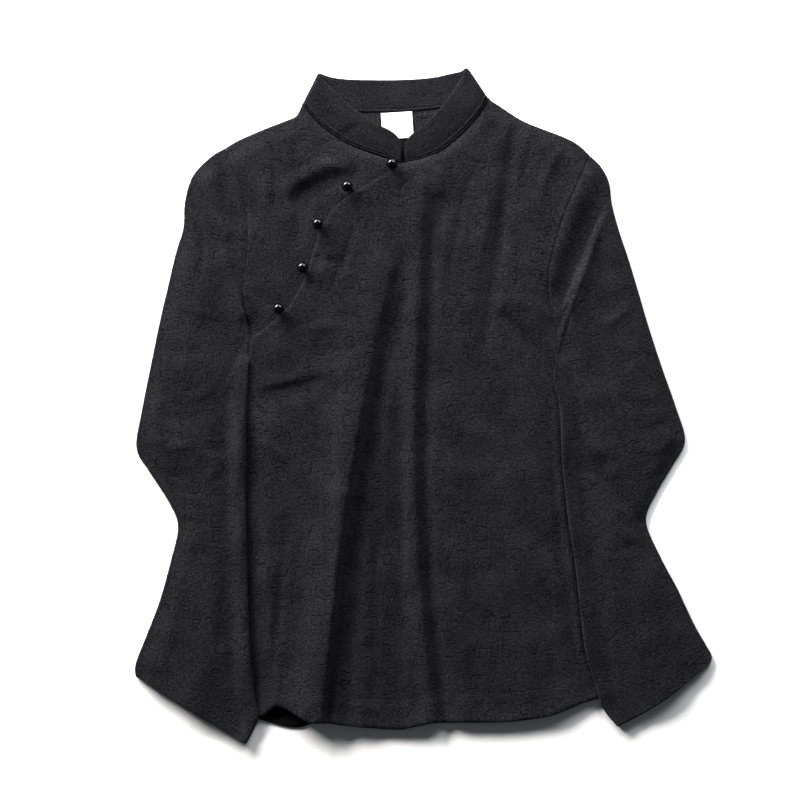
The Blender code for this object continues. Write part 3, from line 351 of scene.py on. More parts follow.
def crepeMaterial(name):
    made, tree = newMaterial(name)
    uv = addNode(tree, "UVMap", {"uv_map": "grain"}).outputs["UV"]
    width = crepe["lineWidth"]

    wobble = addNode(tree, "TexNoise", {"noise_dimensions": "2D"}, {"Scale": 1000.0 / 11.0, "Detail": 1.0},
                     {"Vector": uv})
    centred = addNode(tree, "VectorMath", {"operation": "SUBTRACT"}, {1: (0.5, 0.5, 0.5)},
                      {0: wobble.outputs["Color"]})
    pushed = addNode(tree, "VectorMath", {"operation": "MULTIPLY_ADD"}, {1: (0.005, 0.005, 0.0)},
                     {0: centred.outputs[0], 2: uv})
    breaks = addNode(tree, "TexNoise", {"noise_dimensions": "2D"}, {"Scale": 1000.0 / 8.0, "Detail": 1.0},
                     {"Vector": uv})

    drawn = None
    for figure in crepe["figures"]:
        scale = [1000.0 / figure["cell"] / stretch for stretch in figure["stretch"]]
        placed = addNode(tree, "Mapping", None, {"Location": (*figure["shift"], 0.0), "Scale": (*scale, 1.0)},
                         {"Vector": pushed.outputs[0]})
        cells = addNode(tree, "TexVoronoi", {"voronoi_dimensions": "2D", "distance": "MINKOWSKI"},
                        {"Scale": 1.0, "Exponent": 7.0, "Randomness": 0.9}, {"Vector": placed.outputs[0]})
        parts = addNode(tree, "SeparateColor", links={0: cells.outputs["Color"]})
        radius = addNode(tree, "MapRange", None, {"To Min": figure["small"], "To Max": figure["large"]},
                         {"Value": parts.outputs[0]})
        gap = addNode(tree, "Math", {"operation": "SUBTRACT"},
                      links={0: cells.outputs["Distance"], 1: radius.outputs[0]})
        off = addNode(tree, "Math", {"operation": "ABSOLUTE"}, links={0: gap.outputs[0]})
        band = addNode(tree, "MapRange", {"interpolation_type": "SMOOTHSTEP"},
                       {"From Min": 0.25 * width / figure["cell"], "From Max": width / figure["cell"],
                        "To Min": 1.0, "To Max": 0.0}, {"Value": off.outputs[0]})
        chosen = addNode(tree, "Math", {"operation": "GREATER_THAN"}, {1: 1.0 - figure["share"]},
                         {0: parts.outputs[1]})
        shown = addNode(tree, "Math", {"operation": "MULTIPLY"}, links={0: band.outputs[0], 1: chosen.outputs[0]})
        if drawn is None:
            drawn = shown
        else:
            drawn = addNode(tree, "Math", {"operation": "MAXIMUM"}, links={0: drawn.outputs[0], 1: shown.outputs[0]})

    wander = addNode(tree, "TexNoise", {"noise_dimensions": "2D"},
                     {"Scale": 1000.0 / crepe["wander"], "Detail": 1.0, "Roughness": 0.4, "Distortion": 0.6},
                     {"Vector": uv})
    level = addNode(tree, "Math", {"operation": "SUBTRACT"}, {1: 0.5}, {0: wander.outputs["Fac"]})
    level = addNode(tree, "Math", {"operation": "ABSOLUTE"}, links={0: level.outputs[0]})
    line = addNode(tree, "MapRange", {"interpolation_type": "SMOOTHSTEP"},
                   {"From Min": 0.004, "From Max": 0.014, "To Min": 0.8, "To Max": 0.0}, {"Value": level.outputs[0]})
    where = addNode(tree, "TexNoise", {"noise_dimensions": "2D"}, {"Scale": 1000.0 / 26.0, "Detail": 0.0},
                    {"Vector": pushed.outputs[0]})
    kept = addNode(tree, "MapRange", {"interpolation_type": "SMOOTHSTEP"}, {"From Min": 0.5, "From Max": 0.56},
                   {"Value": where.outputs["Fac"]})
    line = addNode(tree, "Math", {"operation": "MULTIPLY"}, links={0: line.outputs[0], 1: kept.outputs[0]})
    drawn = addNode(tree, "Math", {"operation": "MAXIMUM"}, links={0: drawn.outputs[0], 1: line.outputs[0]})
    worn = addNode(tree, "MapRange", {"interpolation_type": "SMOOTHSTEP"},
                   {"From Min": 0.40, "From Max": 0.58, "To Min": 0.1}, {"Value": breaks.outputs["Fac"]})
    drawn = addNode(tree, "Math", {"operation": "MULTIPLY"}, links={0: drawn.outputs[0], 1: worn.outputs[0]})

    pebble = addNode(tree, "TexNoise", {"noise_dimensions": "2D"},
                     {"Scale": 1000.0 / crepe["pebble"], "Detail": 3.0, "Roughness": 0.72, "Distortion": 0.3},
                     {"Vector": uv})
    ridges = []
    for stretch in ((0.16, 1.0, 1.0), (1.0, 0.16, 1.0)):        # threads across and down
        turned = addNode(tree, "Mapping", None, {"Scale": stretch}, {"Vector": uv})
        ridges.append(addNode(tree, "TexNoise", {"noise_dimensions": "2D"},
                              {"Scale": 1000.0 / crepe["slub"], "Detail": 1.0}, {"Vector": turned.outputs[0]}))
    threads = addNode(tree, "Math", {"operation": "MAXIMUM"},
                      links={0: ridges[0].outputs["Fac"], 1: ridges[1].outputs["Fac"]})
    patches = addNode(tree, "TexNoise", {"noise_dimensions": "2D"}, {"Scale": 1000.0 / 34.0, "Detail": 3.0},
                      {"Vector": uv})

    height = addNode(tree, "Math", {"operation": "MULTIPLY"}, {1: crepe["pebbleRise"]}, {0: pebble.outputs["Fac"]})
    height = addNode(tree, "Math", {"operation": "MULTIPLY_ADD"}, {1: crepe["slubRise"]},
                     {0: threads.outputs[0], 2: height.outputs[0]})
    height = addNode(tree, "Math", {"operation": "MULTIPLY_ADD"}, {1: -crepe["sink"]},
                     {0: drawn.outputs[0], 2: height.outputs[0]})
    bump = addNode(tree, "Bump", None, {"Strength": 1.0, "Distance": 0.001}, {"Height": height.outputs[0]})

    # the tone is partly random (the patches) and partly a painted highlight: the same pebble and thread noise that
    # raises the bump also lightens the colour, so the raised crinkle and threads are painted lighter
    tone = addNode(tree, "Math", {"operation": "MULTIPLY"}, {1: 0.6}, {0: threads.outputs[0]})
    for grain, share in ((patches, 0.4), (pebble, 1.35)):
        tone = addNode(tree, "Math", {"operation": "MULTIPLY_ADD"}, {1: share},
                       {0: grain.outputs["Fac"], 2: tone.outputs[0]})
    tone = addNode(tree, "MapRange", None, {"From Min": 0.97, "From Max": 1.58}, {"Value": tone.outputs[0]})
    groundWithPaintedHighlight = addNode(tree, "Mix", {"data_type": "RGBA"},
                     {6: hexColour(crepe["dark"]), 7: hexColour(crepe["light"])}, {0: tone.outputs[0]})
    colour = addNode(tree, "Mix", {"data_type": "RGBA"}, {7: hexColour(crepe["outline"])},
                     {0: drawn.outputs[0], 6: groundWithPaintedHighlight.outputs[2]})
    shader = addNode(tree, "BsdfPrincipled", None,
                     {"Roughness": crepe["roughness"], "Sheen Weight": crepe["sheen"],
                      "Sheen Roughness": crepe["sheenRoughness"], "Specular IOR Level": crepe["specular"]},
                     {"Base Color": colour.outputs[2], "Normal": bump.outputs[0]})
    addNode(tree, "OutputMaterial", links={"Surface": shader.outputs[0]})
    return made


# Twisted cotton cord and bias-cut cotton, dyed black: matt, with slanted ridges across the run
# the ridge colour is a painted highlight on the twist's raised ridges
cord = {"colour": "#070708", "ridge": "#101012", "roughness": 0.85, "specular": 0.06, "twist": 1.1, "rise": 0.12}


def cordMaterial(name):
    made, tree = newMaterial(name)
    uv = addNode(tree, "UVMap", {"uv_map": "grain"}).outputs["UV"]
    turned = addNode(tree, "Mapping", None, {"Rotation": (0.0, 0.0, math.radians(38.0))}, {"Vector": uv})
    twist = addNode(tree, "TexWave", {"wave_profile": "SIN"},
                    {"Scale": 1000.0 / cord["twist"] / 20.0, "Distortion": 0.6, "Detail": 1.0},
                    {"Vector": turned.outputs[0]})
    height = addNode(tree, "Math", {"operation": "MULTIPLY"}, {1: cord["rise"]}, {0: twist.outputs["Fac"]})
    bump = addNode(tree, "Bump", None, {"Distance": 0.001}, {"Height": height.outputs[0]})
    # painted highlight: the raised ridges of the twist are coloured lighter than its grooves
    colour = addNode(tree, "Mix", {"data_type": "RGBA"},
                     {6: hexColour(cord["colour"]), 7: hexColour(cord["ridge"])}, {0: twist.outputs["Fac"]})
    shader = addNode(tree, "BsdfPrincipled", None, {"Roughness": cord["roughness"], "Specular IOR Level": cord["specular"]},
                     {"Base Color": colour.outputs[2], "Normal": bump.outputs[0]})
    addNode(tree, "OutputMaterial", links={"Surface": shader.outputs[0]})
    return made


# Spun polyester sewing thread, dyed to match: a little lighter than the cloth, with a faint gloss
def threadMaterial(name, colour):
    made, tree = newMaterial(name)
    where = addNode(tree, "TexCoord").outputs["Object"]
    fibres = addNode(tree, "TexNoise", None, {"Scale": 1000.0 / 0.6, "Detail": 2.0}, {"Vector": where})
    bump = addNode(tree, "Bump", None, {"Distance": 0.00008}, {"Height": fibres.outputs["Fac"]})
    dark = [c * 0.6 for c in hexColour(colour)[:3]] + [1.0]
    tone = addNode(tree, "Mix", {"data_type": "RGBA"}, {6: dark, 7: hexColour(colour)}, {0: fibres.outputs["Fac"]})
    shader = addNode(tree, "BsdfPrincipled", None, {"Roughness": 0.6, "Specular IOR Level": 0.2},
                     {"Base Color": tone.outputs[2], "Normal": bump.outputs[0]})
    addNode(tree, "OutputMaterial", links={"Surface": shader.outputs[0]})
    return made


# Moulded black acrylic, tumbled to a high gloss: sharp small reflections, and faint tumbling marks
def acrylicMaterial(name):
    made, tree = newMaterial(name)
    where = addNode(tree, "TexCoord").outputs["Object"]
    marks = addNode(tree, "TexNoise", None, {"Scale": 1000.0 / 2.5, "Detail": 3.0}, {"Vector": where})
    rough = addNode(tree, "MapRange", None, {"To Min": 0.03, "To Max": 0.12}, {"Value": marks.outputs["Fac"]})
    bump = addNode(tree, "Bump", None, {"Distance": 0.00002}, {"Height": marks.outputs["Fac"]})
    tone = addNode(tree, "Mix", {"data_type": "RGBA"}, {6: hexColour("#020202"), 7: hexColour("#050506")},
                   {0: marks.outputs["Fac"]})
    shader = addNode(tree, "BsdfPrincipled", None,
                     {"IOR": 1.49, "Specular IOR Level": 0.25},
                     {"Base Color": tone.outputs[2], "Roughness": rough.outputs[0], "Normal": bump.outputs[0]})
    addNode(tree, "OutputMaterial", links={"Surface": shader.outputs[0]})
    return made


# Woven polyester satin ribbon, white and blank: smooth floats that run across it, a soft gloss
def satinMaterial(name):
    made, tree = newMaterial(name)
    where = addNode(tree, "TexCoord").outputs["Object"]
    floats = addNode(tree, "Mapping", None, {"Rotation": (0.0, 0.0, math.radians(3.5)), "Scale": (0.12, 1.0, 1.0)},
                     {"Vector": where})
    weave = addNode(tree, "TexNoise", None, {"Scale": 1000.0 / 0.45, "Detail": 1.0}, {"Vector": floats.outputs[0]})
    bump = addNode(tree, "Bump", None, {"Distance": 0.00006}, {"Height": weave.outputs["Fac"]})
    tone = addNode(tree, "Mix", {"data_type": "RGBA"}, {6: hexColour("#e4e7ea"), 7: hexColour("#fbfcfd")},
                   {0: weave.outputs["Fac"]})
    shader = addNode(tree, "BsdfPrincipled", None,
                     {"Roughness": 0.42, "Anisotropic": 0.5, "Sheen Weight": 0.1},
                     {"Base Color": tone.outputs[2], "Normal": bump.outputs[0]})
    addNode(tree, "OutputMaterial", links={"Surface": shader.outputs[0]})
    return made


crepeCloth = crepeMaterial("crinkledFiguredCrepe")
blackCord = cordMaterial("blackBiasCord")
darkThread = threadMaterial("blackSewingThread", "#141417")
whiteThread = threadMaterial("whiteSewingThread", "#e8e8e6")
blackAcrylic = acrylicMaterial("polishedBlackAcrylic")
whiteSatin = satinMaterial("whiteSatinRibbon")
print("materials made")


# Mesh helpers
def meshPiece(name, corners, faces, grain, material, wrap=None):
    # grain is each corner's place on the cloth in metres, and wrap its length round a tube there
    mesh = bpy.data.meshes.new(name)
    mesh.from_pydata(corners.tolist(), [], faces)
    shape = bmesh.new()
    shape.from_mesh(mesh)
    bmesh.ops.recalc_face_normals(shape, faces=shape.faces)
    shape.to_mesh(mesh)
    shape.free()
    index = np.empty(len(mesh.loops), dtype=np.int32)
    mesh.loops.foreach_get("vertex_index", index)
    layer = mesh.uv_layers.new(name="grain")
    places = grain[index].copy()
    if wrap is not None:
        starts = np.empty(len(mesh.polygons), dtype=np.int32)
        mesh.polygons.foreach_get("loop_start", starts)
        highest = np.maximum.reduceat(places[:, 0], starts)
        counts = np.diff(np.append(starts, len(index)))
        behind = np.repeat(highest, counts) - places[:, 0] > 0.5 * wrap[index]
        places[behind, 0] += wrap[index][behind]
    layer.data.foreach_set("uv", places.ravel())
    mesh.materials.append(material)
    mesh.shade_smooth()
    piece = bpy.data.objects.new(name, mesh)
    scene.collection.objects.link(piece)
    return piece


def settle(piece, *nodes, slot="crepe"):
    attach(piece, "root")
    if nodes:
        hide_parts(*nodes)
    return piece


def joined(*runs):
    points = []
    for run in runs:
        for point in run:
            if not points or np.hypot(*(point - points[-1])) > 0.6:
                points.append(point)
    if np.hypot(*(points[0] - points[-1])) < 0.6:
        points.pop()
    return np.array(points)


def outward(outline):
    run = np.roll(outline, -1, axis=0) - np.roll(outline, 1, axis=0)
    run /= np.hypot(run[:, 0], run[:, 1])[:, None]
    area = np.sum(outline[:, 0] * np.roll(outline[:, 1], -1) - np.roll(outline[:, 0], -1) * outline[:, 1])
    return np.column_stack((run[:, 1], -run[:, 0])) * np.sign(area)


def meshPlan(outline, step):
    low, high = outline.min(axis=0), outline.max(axis=0)
    rows = np.arange(low[1], high[1], step * 0.87)
    grid = np.vstack([np.column_stack((np.arange(low[0] + (i % 2) * step / 2.0, high[0], step),
                                       np.full(len(np.arange(low[0] + (i % 2) * step / 2.0, high[0], step)), y)))
                      for i, y in enumerate(rows)])
    grid = grid[nearest(grid, np.vstack((outline, outline[:1])), step)[0] > step * 0.5]
    corners = [Vector(point) for point in np.vstack((outline, grid)).tolist()]
    result = delaunay_2d_cdt(corners, [], [list(range(len(outline)))], 1, 0.001)
    plan = np.array([tuple(corner) for corner in result[0]])
    faces = np.array(result[2])
    a, b, c = (plan[faces[:, k]] for k in range(3))
    turn = (b[:, 0] - a[:, 0]) * (c[:, 1] - a[:, 1]) - (b[:, 1] - a[:, 1]) * (c[:, 0] - a[:, 0])
    faces[turn > 0.0] = faces[turn > 0.0][:, ::-1]
    source = np.array([min(found) if found else -1 for found in result[3]])
    return plan, faces, source


def upright(outside, faces):
    # unit normals of a height surface over the plan, with y as on the laying table
    a, b, c = (outside[faces[:, k]] for k in range(3))
    normal = np.cross(b - a, c - a)
    total = np.zeros_like(outside)
    for k in range(3):
        np.add.at(total, faces[:, k], normal)
    total /= np.linalg.norm(total, axis=1)[:, None]
    return total * np.sign(total[:, 2:3])


def panelPiece(name, outline, top, step=cloth["grid"]):
    # a closed wall of cloth with rounded edges, whose upper side is top() over the plan
    away = outward(outline)
    plan, faces, source = meshPlan(outline - away * cloth["rimRound"], step)
    outside = np.column_stack((plan, top(plan)))
    normal = upright(outside, faces)
    rim = {}
    for a, b, c in faces.tolist():
        for edge in ((a, b), (b, c), (c, a)):
            rim[edge] = True
    rim = [edge for edge in rim if (edge[1], edge[0]) not in rim]
    edgePoints = sorted({i for edge in rim for i in edge})
    normal[edgePoints] = (0.0, 0.0, 1.0)
    inside = outside - cloth["wall"] * normal
    ring = outside[edgePoints].copy()
    ring[:, :2] += away[source[edgePoints]] * cloth["rimRound"]
    ring[:, 2] -= 0.5 * cloth["wall"]
    count = len(plan)
    ringIndex = {point: 2 * count + i for i, point in enumerate(edgePoints)}
    shell = faces.tolist() + (faces[:, ::-1] + count).tolist()
    for a, b in rim:
        shell.append((b, a, ringIndex[a], ringIndex[b]))
        shell.append((ringIndex[b], ringIndex[a], a + count, b + count))
    corners = np.vstack((outside, inside, ring))
    return meshPiece(name, toFrame(corners), shell, corners[:, :2] * 0.001, crepeCloth)


# Body panels
body = {
    "hem": {"depth": 27.0, "rise": 0.3, "sink": 0.75, "width": 1.2, "pucker": 10.5, "puckerRise": 0.28,
            "curl": 1.8, "curlWidth": 9.0},
    "stepReach": 28.0, "hiddenRoom": 3.0, "flapFade": 20.0,
    "backStep": 12.0,                   # the back is flat, and needs few points
    "neckCorner": 12.0, "cornerRise": 4.2,
    # the front stands up along the inner edge of the left sleeve: height, distance from the edge, half width
    "roll": (3.6, 4.2, 2.6), "rollFrom": 372.0,
    "backCut": (0.366, 0.630), "frontCut": (0.352, 0.632), "underlapCut": (0.196, 0.247),
}
panelTop = 2.0 * cloth["wall"] + cloth["layerGap"]      # upper side of the second layer where it lies flat


def armholeEdge(name, way):
    return beside(through(seams[name], cloth["edgeStep"]), way * cloth["seamGap"] / 2.0)


def overUnderlap(points):
    distance, side, _ = nearest(points, seamLine["underlapHidden"])
    past = np.where(side > 0.0, np.maximum(distance - body["hiddenRoom"], 0.0), 0.0)
    return smoothStep(1.0 - past / body["stepReach"])


def sleeveRoll(points):
    height, aside, half = body["roll"]
    edge = np.array([row[2:] for row in leftSleeveRows if row[3] > body["rollFrom"]], dtype=float)
    distance, side, along = nearest(points, edge, 3.0 * half + aside)
    uneven = np.array([0.75 + 0.7 * noise.noise((share * 8.0, 6.0, 1.5)) for share in along.tolist()])
    fade = np.sin(math.pi * np.clip(along, 0.0, 1.0)) ** 0.5
    return height * uneven * fade * np.exp(-((distance * np.sign(-side) - aside) / half) ** 2)


def frontTop(points):
    stepUp = (cloth["wall"] + cloth["layerGap"] + cloth["flapSlack"]) * overUnderlap(points)
    seam = seamDip(points, seamLine["leftArmhole"]) + sleeveRoll(points)
    return panelTop + stepUp + relief(points) + seam + hemForm(points, seamLine["frontHem"], body["hem"])


def underlapTop(points):
    distance, side, _ = nearest(points, seamLine["flap"])
    under = smoothStep(np.where(side > 0.0, distance, 0.0) / body["flapFade"])
    seam = seamDip(points, seamLine["rightArmhole"]) * (1.0 - under)
    return panelTop + relief(points) * (1.0 - under) + seam


def backTop(points):
    return np.full(len(points), cloth["wall"])


def backNeckEdge():
    # it rises to the collar's lower edge at both creases
    line = through(neckBack, 3.0)
    fromEnd = np.minimum(np.arange(len(line)), np.arange(len(line))[::-1]) * 3.0
    return beside(line, body["cornerRise"] * (1.0 - smoothStep(fromEnd / body["neckCorner"]))[:, None])


rightSide, leftSide = sideLines
backOutline = joined(
    backNeckEdge()[::-1], seamLine["rightShoulder"][1:-1], armholeEdge("rightArmhole", 1.0),
    rightSide[1:-1], seamLine["backHem"], leftSide[-2:0:-1], armholeEdge("leftArmhole", -1.0)[::-1],
    seamLine["leftShoulder"][-2:0:-1])
frontOutline = joined(
    seamLine["flap"], rightSide[rightSide[:, 1] > 338.0][:-1], seamLine["frontHem"], leftSide[-2:0:-1],
    armholeEdge("leftArmhole", -1.0)[::-1], seamLine["leftShoulder"][-2::-1], through(neckLeft, 3.0))
underlapSide = rightSide[rightSide[:, 1] < 345.0]
underlapOutline = joined(
    through(neckRight, 3.0), seamLine["underlapHidden"], underlapSide[:0:-1],
    armholeEdge("rightArmhole", 1.0)[::-1], seamLine["rightShoulder"][-2::-1])

backPanel = settle(panelPiece("backPanel", backOutline, backTop, body["backStep"]), "back_panel")
mainFront = settle(panelPiece("mainFront", frontOutline, frontTop), "main_front")
underlapFront = settle(panelPiece("underlapFront", underlapOutline, underlapTop), "underlap_front")
print("body panels made")


# Sleeves, as flattened tubes
sleeve = {
    "rim": 1.2,                         # width of the rounded edges
    "across": 49, "along": 3.3,
    "bulgeRows": 6.0,                   # the armhole's curve has died out by this row of the table
    "liftFull": 4.0, "liftReach": 12.0, "underarmFree": 31.0,
    "hem": {"depth": 12.5, "rise": 0.25, "sink": 0.7, "width": 1.1, "pucker": 9.0, "puckerRise": 0.22,
            "curl": 0.5, "curlWidth": 3.5},
    "arc": (0.0, 36.0, 72.0, 108.0, 144.0, 180.0),      # turns round a folded edge, in degrees
    "overlap": 0.8, "overlapEnd": 400.0,        # least overlap on the body's side, as far down as here
    "tilt": (9.0, 16.0),                # degrees that the grain of the right and left sleeve leans outwards
    # the inner edge is full below the underarm: height, distance from the edge and reach of the swelling
    "puff": {"rightSleeve": (3.8, 3.5, 7.0), "leftSleeve": (2.2, 0.9, 4.4)},
    "pressed": 1.3, "pressedReach": 2.4,                # crisp crest along the crease from the shoulder
    "cut": (0.37, 0.6),
    "endRow": 0.15,                     # the last row of points lies this share of a step from each end
}
crests = {
    "rightSleeve": ((198, 198), (212, 226), (226, 256), (238, 290), (246, 316), (248.5, 345), (238, 366), (220, 398)),
    "leftSleeve": ((610, 206), (600, 230), (587, 262), (574, 298), (564, 326), (557, 352), (554, 376), (564, 400),
                   (588, 436), (614, 472), (636, 508)),
}


def sleevePuff(points, grid, name):
    height, spot, reach = sleeve["puff"][name]
    distance, _, along = nearest(points, grid[:, -1])
    swell = np.exp(-((distance - spot) / reach) ** 2)
    uneven = np.array([0.8 + 0.9 * noise.noise((share * 9.0, 2.0, 5.5)) for share in along.tolist()])
    return height * swell * uneven * smoothStep((along - 0.12) / 0.12)


def sleeveCrest(points, name):
    distance, _, along = nearest(points, through(crests[name], 3.0))
    faded = np.sin(math.pi * np.clip(along, 0.0, 1.0)) ** 0.4
    return sleeve["pressed"] * faded * np.exp(-(distance / sleeve["pressedReach"]) ** 2)


def sleeveLift(points, side):
    free = side[np.hypot(*(side - side[0]).T) > sleeve["underarmFree"]]
    distance = nearest(points, free)[0]
    full = 2.0 * cloth["wall"] + 2.0 * cloth["layerGap"]
    return full * smoothStep(1.0 - (distance - sleeve["liftFull"]) / sleeve["liftReach"])


def sleeveGrid(rows, armhole, way, bow):
    # plan points over the whole sleeve, row by row from the armhole to the cuff
    numbered = [(*row, i) for i, row in enumerate(rows)]
    fine = through(numbered, sleeve["along"])
    seam = beside(through(seams[armhole], 1.0), way * cloth["seamGap"] / 2.0)
    share = np.linspace(0.0, 1.0, sleeve["across"])
    spots = share * (len(seam) - 1)
    seam = np.column_stack([np.interp(spots, np.arange(len(seam)), seam[:, k]) for k in range(2)])
    bulge = seam - (seam[0] + share[:, None] * (seam[-1] - seam[0]))
    grid = []
    for row in fine:
        first, last, place = row[:2], row[2:4], row[4]
        across = first + share[:, None] * (last - first) + max(0.0, 1.0 - place / sleeve["bulgeRows"]) * bulge
        across[:, 1] += bow * np.sin(math.pi * share) * np.clip(place - (len(rows) - 2), 0.0, 1.0)
        # just below the underarm it is drawn over the edge of the body's side, so that no slit is left
        side = leftSide if way > 0.0 else rightSide
        meet = np.interp(across[-1, 1], side[:, 1], side[:, 0]) - way * sleeve["overlap"]
        push = way * min(way * (meet - across[-1, 0]), 0.0) * smoothStep((sleeve["overlapEnd"] - across[-1, 1]) / 8.0)
        across[:, 0] += push * smoothStep((share - 0.8) / 0.2)
        grid.append(across)
    return np.array(grid)


def sleevePiece(name, rows, armhole, way, side, bow):
    grid = sleeveGrid(rows, armhole, way, bow)
    for place, end, step in ((1, 0, 1), (-1, -1, -1)):
        near = grid[end] + sleeve["endRow"] * (grid[end + step] - grid[end])
        grid = np.insert(grid, place, near, axis=0)
    count, across = grid.shape[:2]
    cuff = grid[-1]
    tips = grid[:, [0, -1]].copy()
    for edge, inner in ((0, 1), (-1, -2)):
        run = grid[:, inner] - grid[:, edge]
        grid[:, edge] += sleeve["rim"] * run / np.linalg.norm(run, axis=1)[:, None]
    points = grid.reshape(-1, 2)
    under = sleeveLift(points, side)
    seam = seamDip(points, seamLine[armhole])
    loft = relief(points) + seam + hemForm(points, cuff, sleeve["hem"])
    loft += sleevePuff(points, grid, name) + sleeveCrest(points, name)
    top = under + 2.0 * cloth["wall"] + cloth["tubeGap"] + loft
    topGrid = np.column_stack((points, top)).reshape(count, across, 3)
    underGrid = np.column_stack((points, under)).reshape(count, across, 3)
    normal = np.cross(np.gradient(topGrid, axis=0), np.gradient(topGrid, axis=1))
    normal /= np.linalg.norm(normal, axis=2)[:, :, None]
    normal *= np.sign(normal[:, :, 2:3])
    normal[[0, -1]] = (0.0, 0.0, 1.0)
    wall = cloth["wall"]

    def ringOf(upper, lower, i, drawnIn):
        pieces = [upper[i]]
        for edge, tip in ((-1, 1), (0, 0)):
            a, b = (upper[i, edge], lower[i, edge]) if edge == -1 else (lower[i, edge], upper[i, edge])
            middle = 0.5 * (a + b)
            point = np.append(tips[i, tip] + drawnIn * (grid[i, edge] - tips[i, tip]), middle[2])
            arc = [middle + (a - middle) * math.cos(math.radians(turn))
                   + (point - middle) * math.sin(math.radians(turn)) for turn in sleeve["arc"][1:-1]]
            pieces.append(np.array(arc))
            if edge == -1:
                pieces.append(lower[i, ::-1])
        return np.vstack(pieces)

    innerTop = topGrid - wall * normal
    innerUnder = underGrid + (0.0, 0.0, wall)
    outer = np.array([ringOf(topGrid, underGrid, i, 0.0) for i in range(count)])
    inner = np.array([ringOf(innerTop, innerUnder, i, 0.8) for i in range(count)])
    ring = outer.shape[1]
    # the grain is laid out flat: the upper side as it lies, the underside unfolded about the inner edge
    lean = math.radians(sleeve["tilt"][0] if way < 0.0 else -sleeve["tilt"][1])
    turned = outer[:, :, :2] @ np.array(((math.cos(lean), -math.sin(lean)), (math.sin(lean), math.cos(lean))))
    turned[:, :, 0] *= -way
    half = across + len(sleeve["arc"]) // 2 - 1
    inmost = turned[:, half - 1, 0]
    outmost = turned[:, 0, 0]
    wrap = 2.0 * (inmost - outmost)
    turned[:, half:, 0] = 2.0 * inmost[:, None] - turned[:, half:, 0]
    turned[:, -(len(sleeve["arc"]) // 2 - 1):, 0] = (outmost + wrap)[:, None]
    grain = turned.reshape(-1, 2) * 0.001 + (0.31 * (way + 2.0), 0.17)      # cut from another place on the cloth
    wrap = np.repeat(wrap, ring) * 0.001
    corners = np.vstack((outer.reshape(-1, 3), inner.reshape(-1, 3)))
    j = np.arange(ring)
    k = (j + 1) % ring
    faces = []
    for i in range(count - 1):
        a, b = i * ring + j, i * ring + k
        faces += np.column_stack((a, b, b + ring, a + ring)).tolist()
        a, b = a + count * ring, b + count * ring
        faces += np.column_stack((b, a, a + ring, b + ring)).tolist()
    for start, turned in ((0, False), ((count - 1) * ring, True)):
        a, b = start + j, start + k
        quads = np.column_stack((b, a, a + count * ring, b + count * ring))
        faces += (quads[:, ::-1] if turned else quads).tolist()
    return meshPiece(name, toFrame(corners), faces, np.vstack((grain, grain)), crepeCloth, np.tile(wrap, 2))


rightSleeve = settle(sleevePiece("rightSleeve", rightSleeveRows, "rightArmhole", -1.0, rightSide, 1.5), "right_sleeve")
leftSleeve = settle(sleevePiece("leftSleeve", leftSleeveRows, "leftArmhole", 1.0, leftSide, 6.0), "left_sleeve")
print("sleeves made")


# Stand collar: a stiffened band round the neck, flattened, with a welt along its lower edge
collar = {
    "cut": (0.43, 0.034),
    "thick": 2.0, "step": 2.4, "creaseTurns": 11,
    "room": 2.8,                        # from the neck seam to the band's lower edge
    "rows": (0.0, 0.5, 1.1, 1.8, 2.5, 3.1, 3.7, 4.5, 6.5, 9.0, 12.0, 15.0, 18.0, 21.0, 24.0, 27.0, 29.5, 31.0),
    "welt": 0.2, "weltAt": 1.5, "groove": 0.4, "grooveAt": 3.1,
    "topSoft": 0.55,                    # the top edge is rounded by this much
    "settle": 0.42, "settleReach": 9.0,         # the lower edge lies down towards the body
    "cornerRoom": 0.9, "cornerReach": 14.0,     # and meets the shoulder at the creases
    "creases": ((339, 139, 350, 131, 363, 127, -0.5, -1.1, -0.4, 5, 5), (336, 132, 346, 124, 358, 121, 0.3, 0.7, 0.2, 5, 5),
                (455, 103, 461, 112, 463, 122, -0.3, -0.6, 0, 5, 5), (428, 128, 434, 140, 436, 150, 0.2, 0.5, 0.2, 6, 6)),
}


def creaseRun(crease, outwardWay, frontFirst):
    seamX, seamY, topX, topY, low, high = crease
    radius = 0.5 * (high - low)
    inset = radius + collar["thick"] / 2.0
    angles = np.radians(np.linspace(90.0, -90.0, collar["creaseTurns"]))
    rows = []
    for angle in angles if frontFirst else angles[::-1]:
        out = outwardWay * (radius * math.cos(angle) - inset)
        z = 0.5 * (high + low) + radius * math.sin(angle)
        rows.append((seamX + out, seamY, topX + out, topY, z, z))
    return np.array(rows)


